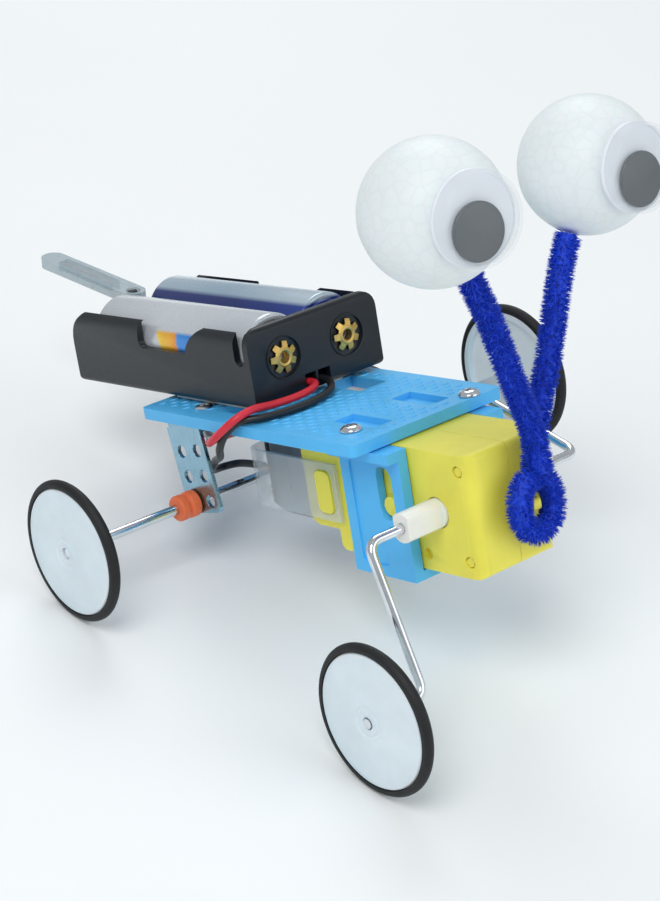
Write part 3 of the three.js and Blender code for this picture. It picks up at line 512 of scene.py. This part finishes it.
def add_lead(name, route):
    path = [at(*point) for point in smooth_path(route, 5)]
    data = bpy.data.curves.new(name + "_wire", "CURVE")
    data.dimensions = "3D"
    data.bevel_depth = LEAD_RADIUS / 1000
    data.bevel_resolution = 3
    data.use_fill_caps = True
    spline = data.splines.new("POLY")
    spline.points.add(len(path) - 1)
    for point, place in zip(spline.points, path):
        point.co = (*place, 1)
    data.materials.append(MATERIAL[name])
    wire = bpy.data.objects.new(name + "_wire", data)
    scene.collection.objects.link(wire)
    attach(wire, "chassis")
    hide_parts(name + "_lead")


# ---------- deck, brackets and screws ----------

DECK_LENGTH, DECK_WIDTH = 62.0, 36.6
SCALE_PITCH = (1.9, 2.6)
BORDER = 2.2
BRACKET_SCREWS = {"near": (54.6, -11.9), "far": (60.0, 12.0)}
HOLLOWS = [
    (17.4, 25, -13.5, -7), (26.5, 36.8, 6, 12.7), (46.8, 57.5, -9.4, -4.6), (46.8, 57.5, 4.6, 9.4),
]


def crescent(x, y, half=1.15, width=0.5, height=0.18):
    """A low raised arc, thickest in its middle."""
    vertices, faces = [], []
    steps = 6
    for k in range(steps + 1):
        t = -1 + 2 * k / steps
        middle = (x - 0.75 * t * t, y + half * t)
        swell = width * (1 - 0.75 * t * t) * 0.5 + 0.05
        top = height * (1 - 0.8 * t * t)
        vertices += [
            (middle[0] - swell, middle[1], -0.05), (middle[0] + swell, middle[1], -0.05),
            (middle[0] + swell * 0.45, middle[1], top), (middle[0] - swell * 0.45, middle[1], top),
        ]
    for k in range(steps):
        a = 4 * k
        for s in range(4):
            n = (s + 1) % 4
            faces.append([a + s, a + n, a + 4 + n, a + 4 + s])
    faces.append([3, 2, 1, 0])
    faces.append([4 * steps + s for s in range(4)])
    return vertices, faces


def clear_of_hollows(x, y):
    if any(a - 1.3 < x < b + 1.0 and c - 1.3 < y < d + 1.3 for a, b, c, d in HOLLOWS):
        return False
    return all(math.hypot(x - sx, y - sy) > 3.0 for sx, sy in BRACKET_SCREWS.values())


def add_deck():
    rounded_copy("deck_plate", "deck", "chassis", 0.35)
    arcs = []
    rows = int((DECK_LENGTH - 2 * BORDER) / SCALE_PITCH[0])
    columns = int((DECK_WIDTH - 2 * BORDER) / SCALE_PITCH[1])
    for row in range(rows + 1):
        shift = 0.5 if row % 2 else 0.0
        for column in range(columns):
            x = BORDER + 0.5 + row * SCALE_PITCH[0]
            y = (column + shift - (columns - 1) / 2) * SCALE_PITCH[1]
            if clear_of_hollows(x, y) and abs(y) < DECK_WIDTH / 2 - BORDER:
                arcs.append(crescent(x, y))
    add_piece("deck_scales", *merged(*arcs), "deck", "chassis", "deck")
    rounded_copy("motor_bracket", "deck", "chassis", 0.4)
    for side, (x, y) in BRACKET_SCREWS.items():
        add_pan_screw(f"bracket_screw_{side}", (x, y, 0.1), 2.0, 1.0, 0.85, 4.6, turn=0.5)


def add_pan_screw(node, centre, head, height, shank, length, turn):
    """A pan head with a cross recess: the slots are pushed into the head's own grid."""
    arm, slit, depth = head * 0.6, head * 0.13, height * 0.55

    def top(x, y):
        r = min(1, math.hypot(x, y) / head)
        z = height * (1 - r ** 4 * 0.75)
        a, b = abs(x * math.cos(turn) + y * math.sin(turn)), abs(y * math.cos(turn) - x * math.sin(turn))
        inside = (a < arm and b < slit) or (b < arm and a < slit)
        return z - (depth if inside else 0)

    vertices, faces, sides, rings = [], [], 96, 26
    x0, y0, z0 = centre
    vertices.append((x0, y0, z0 + top(0, 0)))
    for ring in range(1, rings + 1):
        r = head * ring / rings
        for k in range(sides):
            a = 2 * math.pi * k / sides
            x, y = r * math.cos(a), r * math.sin(a)
            vertices.append((x0 + x, y0 + y, z0 + top(x, y)))
    faces += [[0, 1 + k, 1 + (k + 1) % sides] for k in range(sides)]
    for ring in range(rings - 1):
        a, b = 1 + ring * sides, 1 + (ring + 1) * sides
        faces += [[a + k, b + k, b + (k + 1) % sides, a + (k + 1) % sides] for k in range(sides)]
    edge = 1 + (rings - 1) * sides
    for radius, z in ((head, 0), (shank, 0), (shank, -length)):
        start = len(vertices)
        for k in range(sides):
            a = 2 * math.pi * k / sides
            vertices.append((x0 + radius * math.cos(a), y0 + radius * math.sin(a), z0 + z))
        faces += [[edge + k, start + k, start + (k + 1) % sides, edge + (k + 1) % sides] for k in range(sides)]
        edge = start
    faces.append([edge + k for k in range(sides)][::-1])
    add_piece(node + "_head", vertices, faces, "steel", "chassis", "bright_steel", [node], 40)


BRACKET_LEAN = math.radians(9)
BRACKET_Y, BRACKET_THICK = 17.9, 0.8
HOLE_PITCH, HOLE_RADIUS = 5.0, 1.25


def add_axle_bracket(side, sign):
    """A perforated angle: a leaning wall with six holes, and its foot under the deck."""
    top = (17.6 - 2.5) / math.cos(BRACKET_LEAN)
    corner = rounded([(-2.9, top), (-2.9, -2.3), (7.5, -2.3), (7.5, top)], 1.2, 6)
    lean = math.tan(BRACKET_LEAN)
    outline = [(-2.9, top - 2.9 * lean), *corner[1:-1], (7.5, top + 7.5 * lean)]
    outline = [(a, min(b, (15.1 + a * math.sin(BRACKET_LEAN)) / math.cos(BRACKET_LEAN))) for a, b in outline]
    holes = [
        circle(HOLE_RADIUS if (a or b) else 1.07, (a * HOLE_PITCH, b * HOLE_PITCH))
        for a in range(2) for b in range(3)
    ]
    stand = Matrix.Translation(AXLE) @ Matrix.Rotation(-BRACKET_LEAN, 4, "Y") @ Matrix.Rotation(math.pi / 2, 4, "X")
    wall_at = Matrix.Translation((0, sign * (BRACKET_Y - BRACKET_THICK / 2), 0))
    node = f"axle_bracket_{side}"
    flat_plate(
        node + "_wall", outline, holes, BRACKET_THICK, wall_at @ stand,
        "bracket", "chassis", [node],
    )
    low, high = AXLE[0] - top * math.sin(BRACKET_LEAN) - 2.7, AXLE[0] - top * math.sin(BRACKET_LEAN) + 7.2
    inner, outer = sign * (BRACKET_Y - 9.4), sign * (BRACKET_Y - BRACKET_THICK / 2)
    foot = [(low, inner), (high, inner), (high, outer), (low, outer)]
    screw_holes = [circle(HOLE_RADIUS, (13.6 - step, sign * 13.2)) for step in (0, HOLE_PITCH)]
    foot_at = Matrix.Translation((0, 0, -2.5 - BRACKET_THICK / 2))
    flat_plate(
        node + "_foot", foot, screw_holes, BRACKET_THICK, foot_at, "bracket", "chassis", [node],
    )
    add_pan_screw(f"axle_bracket_screw_{side}", (13.6, sign * 13.2, 0.08), 1.9, 0.6, 0.95, 6.2, turn=0.3)
    carry(f"axle_bracket_nut_{side}", "steel")


def carry(node, finish):
    """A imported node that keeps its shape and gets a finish."""
    mesh = frame["nodes"][node].data
    mesh.materials.clear()
    mesh.materials.append(MATERIAL[finish])


# ---------- wheels, axle and bushes ----------

WHEEL_RADIUS = 1000 * AXLE_AT.z           # the wheels just touch the ground
RIM = 12.2
WHEEL_DEPTH, WEB = 2.2, 1.3
REAR_WHEEL_Y = (-47.7, 30.0)


def disc_profile():
    face = [(RIM - 0.9, 0.0), (RIM * 0.75, 0.22), (RIM * 0.4, 0.42), (3.1, 0.5), (3.0, 0.34), (2.3, 0.34)]
    return rounded([
        (1.15, -WHEEL_DEPTH), (3, -WHEEL_DEPTH), (3, -WEB), (RIM - 1.4, -WEB), (RIM - 1.2, -WHEEL_DEPTH),
        (RIM, -WHEEL_DEPTH), (RIM, -0.45), (RIM - 0.25, -0.08), *face, (2.2, 0.5), (1.15, 0.5),
    ], 0.15, 3)


def tyre_profile():
    seat = RIM + 0.1
    return rounded([
        (seat, -WHEEL_DEPTH), (WHEEL_RADIUS - 0.6, -WHEEL_DEPTH), (WHEEL_RADIUS, -1.5), (WHEEL_RADIUS, -0.85),
        (WHEEL_RADIUS - 0.6, -0.12), (seat, -0.12),
    ], 0.5, 5)


def add_wheel(place, body, centre, sign):
    axis = (0, sign, 0)
    disc = closed_lathe(disc_profile(), centre, axis, 128)
    add_piece(f"disc_{place}", *disc, "disc", body, "wheel_disc", [f"wheel_disc_{place}"], 25)
    tyre = closed_lathe(tyre_profile(), centre, axis, 160)
    add_piece(f"rubber_{place}", *tyre, "tyre", body, "tyre", [f"tyre_{place}"], 50)


def add_rear_axle():
    low, high = -47.9, 30.2
    rod = rounded([(0, low), (0.85, low), (1.0, low + 0.15), (1.0, high - 0.15), (0.85, high), (0, high)], 0.05)
    add_piece(
        "axle_rod", *lathe(rod, AXLE, (0, 1, 0), 48),
        "steel", "rear_wheels", "bright_steel", ["rear_axle"], 40,
    )
    start, length = 18.2, 4.4
    profile = rounded([
        (1.02, start), (2.58, start), (2.58, start + 1.75), (2.1, start + 2.1), (2.1, start + 2.35),
        (2.5, start + 2.65), (2.5, start + length - 0.3), (2.2, start + length), (1.02, start + length),
    ], 0.3, 4)
    for place, sign, y in (("near", -1, REAR_WHEEL_Y[0]), ("far", 1, REAR_WHEEL_Y[1])):
        add_wheel(f"rear_{place}", "rear_wheels", (AXLE[0], y, AXLE[2]), sign)
        ring = closed_lathe(profile, AXLE, (0, sign, 0), 64)
        add_piece(f"bush_{place}", *ring, "bush", "rear_wheels", "bush", [f"axle_bush_{place}"], 50)


# ---------- cranks ----------

CRANK_RADIUS, CRANK_PLANE, CRANK_ARM, CRANK_BEND = 0.9, 25.7, 27.4, 2.8
FRONT_WHEEL_Y = 38.2
ARM_ANGLE = {"near": math.radians(18.6), "far": math.radians(-109.2)}


def add_crank(side, sign):
    angle = ARM_ANGLE[side]
    x = SHAFT[0] + CRANK_ARM * math.sin(angle)
    z = SHAFT[2] - CRANK_ARM * math.cos(angle)
    corners = [
        (SHAFT[0], sign * 12.4, SHAFT[2]), (SHAFT[0], sign * CRANK_PLANE, SHAFT[2]),
        (x, sign * CRANK_PLANE, z), (x, sign * (FRONT_WHEEL_Y + 0.65), z),
    ]
    wire = sweep(rounded(corners, CRANK_BEND, 14), CRANK_RADIUS, 24)
    add_piece(f"crank_wire_{side}", *wire, "steel", "drive", "bright_steel", [f"crank_{side}"], 50)
    add_wheel(f"front_{side}", "drive", (x, sign * FRONT_WHEEL_Y, z), sign)


# ---------- gearbox and motor ----------

def add_gearbox():
    for side in ("near", "far"):
        rounded_copy(f"gearbox_shell_{side}", "gearbox", "chassis", 0.45)
    rounded_copy("output_shaft", "nylon", "drive", 0.15)
    for node in ("case_peg_upper", "case_peg_lower"):
        carry(node, "gearbox")
    for node in ("idler_gear", "crown_gear"):
        carry(node, "nylon")
    carry("motor_pinion", "brass")
    for node in ("idler_pin", "crown_pin"):
        carry(node, "steel")


def add_motor():
    rounded_copy("motor_can", "can", "chassis", 0.6)
    rounded_copy("motor_end_cap", "dark", "chassis", 0.4)
    rounded_copy("motor_strap", "clear", "chassis", 0.15)
    for node in ("motor_terminal_black", "motor_terminal_red"):
        carry(node, "brass")


# ---------- battery box ----------

BOX = {"x": (-27.8, 29.5), "y": (-12.8, 19.0), "z": (1.0, 16.0), "wall": 1.4}
BOX_MIDDLE = (BOX["y"][0] + BOX["y"][1]) / 2
CELL_RADIUS, CELL_LENGTH, CELL_Z, CELL_OFFSET = 7.1, 49.4, 9.8, 7.25
EYELET_Y, EYELET_Z = 7.8, 9.0


def cell_profile():
    r, length = CELL_RADIUS, CELL_LENGTH
    return rounded([
        (0, 0), (5.6, 0), (5.7, 0.25), (6.6, 0.25), (r, 0.6), (r, length - 1.3), (r - 0.35, length - 0.75),
        (5.9, length - 0.75), (5.7, length - 0.95), (3.2, length - 0.95), (2.7, length - 0.7),
        (2.7, length + 0.5), (2.4, length + 0.68), (0, length + 0.7),
    ], 0.25, 3)


def add_cells():
    near_start = BOX["x"][1] - BOX["wall"] - 0.3 - CELL_LENGTH - 0.7
    near = lathe(cell_profile(), (near_start, BOX_MIDDLE - CELL_OFFSET, CELL_Z), (1, 0, 0), 96)
    add_piece("cell_near", *near, "cell_silver", "chassis", "cell_silver", ["battery_near"], 40)
    far_end = BOX["x"][0] + BOX["wall"] + 0.5 + 0.6 + CELL_LENGTH + 0.7
    far = lathe(cell_profile(), (far_end, BOX_MIDDLE + CELL_OFFSET, CELL_Z), (-1, 0, 0), 96)
    add_piece("cell_far", *far, "cell_navy", "chassis", "cell_navy", ["battery_far"], 40)


def add_eyelet(side, sign):
    """A rolled brass eyelet with seven petals, in its recess."""
    centre = (BOX["x"][1] - 0.3, BOX_MIDDLE + sign * EYELET_Y, EYELET_Z)
    barrel = closed_lathe(rounded([
        (1.1, -1.15), (1.5, -1.15), (1.5, 0.12), (2.1, 0.12), (2.1, 0.45), (1.5, 0.75), (1.1, 0.55),
    ], 0.15, 3), centre, (1, 0, 0), 64)
    petals = []
    for k in range(7):
        angle = 2 * math.pi * (k + 0.5) / 7
        out = Vector((0, math.cos(angle), math.sin(angle)))
        side_way = Vector((0, -math.sin(angle), math.cos(angle)))
        base = Vector(centre)
        loop = []
        for reach, half, height in ((1.5, 0.5, 0.62), (2.3, 0.66, 0.5), (3.05, 0.55, 0.25)):
            for h in (height, height - 0.22):
                for s in (-1, 1):
                    loop.append(base + out * reach + side_way * (half * s) + Vector((h, 0, 0)))
        faces = []
        for a in (0, 4):
            b = a + 4
            faces += [[a, a + 1, b + 1, b], [a + 2, b + 2, b + 3, a + 3]]
            faces += [[a, b, b + 2, a + 2], [a + 1, a + 3, b + 3, b + 1]]
        faces += [[0, 2, 3, 1], [8, 9, 11, 10]]
        petals.append((loop, faces))
    add_piece(
        f"eyelet_{side}", *merged(barrel, *petals),
        "brass", "chassis", "brass", [f"contact_eyelet_{side}"], 40,
    )
    ring = closed_lathe(
        [(3.85, 0.32), (4.1, 0.32), (4.1, 0.46), (3.98, 0.52), (3.85, 0.46)], centre, (1, 0, 0), 96,
    )
    add_piece(f"recess_ring_{side}", *ring, "dark", "chassis", "dark_plastic")


def add_contact_springs():
    near_start = BOX["x"][1] - BOX["wall"] - 0.3 - CELL_LENGTH - 0.7
    rear_start = BOX["x"][0] + BOX["wall"] + 0.3 + 0.3 + 0.1
    far_end = BOX["x"][0] + BOX["wall"] + 1.1 + CELL_LENGTH + 0.7
    front_start = BOX["x"][1] - BOX["wall"] - 0.15
    for place, start, stop, sign in (
        ("rear", rear_start, near_start - 0.15, -1), ("front", front_start, far_end + 0.15, 1),
    ):
        points, turns, count = [], 3.2, 120
        direction = 1 if stop > start else -1
        for k in range(count + 1):
            t = k / count
            angle = 2 * math.pi * turns * t
            r = 3.1 - 1.1 * t
            x = start + direction * (0.35 + (abs(stop - start) - 0.7) * t)
            y = BOX_MIDDLE + sign * CELL_OFFSET + r * math.cos(angle)
            points.append((x, y, CELL_Z + r * math.sin(angle)))
        coil = sweep(points, 0.28, 10)
        add_piece(
            f"spring_{place}", *coil, "steel", "chassis", "bright_steel", [f"contact_spring_{place}"], 60,
        )


def add_battery_box():
    rounded_copy("battery_box", "dark", "chassis", 0.35)
    add_cells()
    add_contact_springs()
    for side, sign in (("near", -1), ("far", 1)):
        add_eyelet(side, sign)
    carry("bridge_plate", "brass")
    carry("foam_tape_pad", "tape")
    rounded_copy("rear_lever", "lever", "lever", 0.3)
    carry("lever_blade", "steel")


# ---------- stem and eyes ----------

STEM_RADIUS, STEM_RING = 2.7, (4.1, 5.0)
STEM_AT = (84.9, 1.3, -13.7)
STALKS = [
    [(86, 2.4, -8), (86, 1.9, -2), (87, -0.2, 3.4), (88.6, -3.4, 9.2), (90.4, -6.8, 16), (92.2, -10.6, 23.6),
     (93.5, -14, 29.8), (93.8, -15.1, 32.2)],
    [(84.4, 2.4, -8), (84.4, 3.6, -2), (84.8, 5.4, 3.4), (85.4, 7.6, 9.2), (85.9, 9.9, 16), (86.2, 12.2, 23),
     (86.3, 14.9, 28.8), (86.4, 15.7, 30.2)],
]
FIBRES_PER_MM = 130
TWIST = 1.7                               # millimetres along the wire for one turn of bristles


def bristles(path):
    """Tapered fibres standing out from a twisted wire, in rows that follow its twist."""
    vertices, faces = [], []
    travelled = 0.0
    for a, b in zip(path, path[1:]):
        step = (b - a).length
        along = (b - a).normalized()
        across = along.orthogonal().normalized()
        third = along.cross(across)
        for _ in range(int(step * FIBRES_PER_MM)):
            t = random.random()
            turn = 2 * math.pi * (travelled + step * t) / TWIST
            angle = turn + random.choice((0, math.pi)) + random.gauss(0, 0.5)
            out = across * math.cos(angle) + third * math.sin(angle)
            tip_way = (out + along * random.gauss(0, 0.16) + out.cross(along) * random.gauss(0, 0.12)).normalized()
            root = a + (b - a) * t + out * 0.5
            reach = STEM_RADIUS * random.uniform(0.86, 1.04) - 0.5
            width = random.uniform(0.05, 0.085)
            side_way = tip_way.orthogonal().normalized()
            other = tip_way.cross(side_way)
            start = len(vertices)
            for k in range(3):
                spin = 2 * math.pi * k / 3
                offset = side_way * math.cos(spin) + other * math.sin(spin)
                vertices.append(root + offset * width)
            for k in range(3):
                spin = 2 * math.pi * k / 3
                offset = side_way * math.cos(spin) + other * math.sin(spin)
                vertices.append(root + tip_way * reach * 0.75 + offset * width)
            vertices.append(root + tip_way * reach)
            for k in range(3):
                n = (k + 1) % 3
                faces.append([start + k, start + n, start + 3 + n, start + 3 + k])
                faces.append([start + 3 + k, start + 3 + n, start + 6])
            faces.append([start, start + 2, start + 1])
        travelled += step
    return vertices, faces


def add_stem():
    ring = []
    for k in range(49):
        angle = 2 * math.pi * k / 48
        ring.append(Vector(STEM_AT) + Vector((0, STEM_RING[0] * math.cos(angle), STEM_RING[1] * math.sin(angle))))
    paths = [ring] + [smooth_path(stalk, 6) for stalk in STALKS]
    cores, hairs = [], []
    for path in paths:
        def furry(t):
            return 1.55 + 0.12 * noise.noise(Vector((t * 90, 3.1, 0)))
        cores.append(sweep(path, furry, 20))
        hairs.append(bristles(path))
    add_piece("stem_bristles", *merged(*cores, *hairs), "chenille", "chassis", "chenille", ["chenille_stem"], 180)


BALL_RADIUS = 12.0
EYES = {"near": ((94.1, -20.8, 43.3), -9.5), "far": ((86.2, 22.5, 40.6), -2.4)}
GOOGLY = {"back": 10.6, "thick": 0.8, "radius": 7.6, "wall": 0.6, "side": 1.7, "rise": 2.4, "pupil": 4.7}


def add_eye(side):
    centre, yaw = EYES[side]
    yaw = math.radians(yaw)
    facing = Vector((math.cos(yaw), math.sin(yaw), 0))
    back, radius, wall = GOOGLY["back"], GOOGLY["radius"], GOOGLY["wall"]

    def lumpy(r, h, angle):
        p = Vector((r * math.cos(angle), r * math.sin(angle), h)) * 0.35
        swell = 1 + 0.004 * noise.noise(p) - 0.002
        return r * swell, h * swell

    flat, steps = back - 0.3, 72
    edge = math.acos(-flat / BALL_RADIUS)
    arc = [edge * k / steps for k in range(1, steps + 1)]
    profile = [(BALL_RADIUS * math.sin(a), -BALL_RADIUS * math.cos(a)) for a in arc]
    profile = [(0, -BALL_RADIUS), *profile, (0, flat)]
    ball = lathe(profile, centre, facing, 128, lumpy)
    add_piece(f"ball_{side}", *ball, "foam", "chassis", "foam_ball", [f"eye_ball_{side}"], 180)
    seat = rounded([
        (radius - 0.9, back), (radius, back), (radius + 0.1, back + 0.4), (radius, back + GOOGLY["thick"]),
        (0, back + GOOGLY["thick"]),
    ], 0.3, 4)
    dish = lathe([(0, back)] + seat, centre, facing, 96)
    add_piece(f"dish_{side}", *dish, "white", "chassis", "eye_white", [f"eye_back_{side}"], 40)
    base = back + GOOGLY["thick"] + 0.15
    outer = [
        (radius * math.sin(a), base + GOOGLY["side"] + GOOGLY["rise"] * math.cos(a))
        for a in (math.pi / 2 * k / 14 for k in range(14, -1, -1))
    ]
    inner = [
        ((radius - wall) * math.sin(a), base + GOOGLY["side"] + (GOOGLY["rise"] - wall) * math.cos(a))
        for a in (math.pi / 2 * k / 14 for k in range(15))
    ]
    outer[-1], inner[0] = (0, outer[-1][1]), (0, inner[0][1])
    dome = lathe([*inner, (radius - wall, base), (radius, base), *outer], centre, facing, 96)
    add_piece(f"dome_{side}", *dome, "dome", "chassis", "clear_plastic", [f"eye_dome_{side}"], 40)
    drop = radius - wall - GOOGLY["pupil"] - 0.35
    hang = math.atan(math.tan(PITCH) * math.sin(yaw))
    sideways = Vector((-math.sin(yaw), math.cos(yaw), 0))
    low = Vector(centre) + sideways * (drop * math.sin(hang)) + Vector((0, 0, -drop * math.cos(hang)))
    start = back + GOOGLY["thick"] + 0.3
    p = GOOGLY["pupil"]
    disc = rounded([
        (0, start), (p - 0.2, start), (p, start + 0.2), (p, start + 0.7), (p - 0.2, start + 0.9), (0, start + 0.9),
    ], 0.1, 3)
    pupil = lathe(disc, low, facing, 96)
    add_piece(f"pupil_disc_{side}", *pupil, "pupil", f"pupil_{side}", "pupil", [f"eye_pupil_{side}"], 40)


# ---------- floor and light ----------

def add_floor():
    mesh = bpy.data.meshes.new("floor")
    reach = 2.5
    corners = [(-reach, -reach, 0), (reach, -reach, 0), (reach, reach, 0), (-reach, reach, 0)]
    mesh.from_pydata(corners, [], [(0, 1, 2, 3)])
    floor = bpy.data.objects.new("floor", mesh)
    finish = Finish("studio_floor", 0.75).mottle(srgb(247, 249, 250), 0.006, 0.01)
    mesh.materials.append(finish.material)
    scene.collection.objects.link(floor)


def add_light(name, place, size, power, color=(1, 1, 1)):
    data = bpy.data.lights.new(name, "AREA")
    data.shape = "DISK"
    data.size = size
    data.energy = power
    data.color = color
    light = bpy.data.objects.new(name, data)
    scene.collection.objects.link(light)
    light.location = place
    direction = Vector((0.02, 0, 0.05)) - Vector(place)
    light.rotation_euler = direction.to_track_quat("-Z", "Y").to_euler()


def add_studio():
    world = bpy.data.worlds.new("studio")
    world.use_nodes = True
    background = world.node_tree.nodes["Background"]
    background.inputs["Color"].default_value = (0.93, 0.97, 1.0, 1)
    background.inputs["Strength"].default_value = 0.46
    scene.world = world
    scene.view_settings.view_transform = "Standard"
    add_light("key", (0.25, -0.45, 0.75), 0.5, 3.4)
    add_light("fill", (0.65, 0.25, 0.35), 0.6, 1.0, (0.95, 0.98, 1))
    add_light("rear", (-0.5, 0.35, 0.6), 0.5, 1.9, (0.97, 0.99, 1))


# ---------- the whole car ----------

MATERIAL = make_materials()
add_camera()
add_lead("red", RED_ROUTE)
add_lead("black", BLACK_ROUTE)
add_deck()
for side, sign in (("near", -1), ("far", 1)):
    add_axle_bracket(side, sign)
    add_crank(side, sign)
    add_eye(side)
add_rear_axle()
add_gearbox()
add_motor()
add_battery_box()
add_stem()
add_floor()
add_studio()
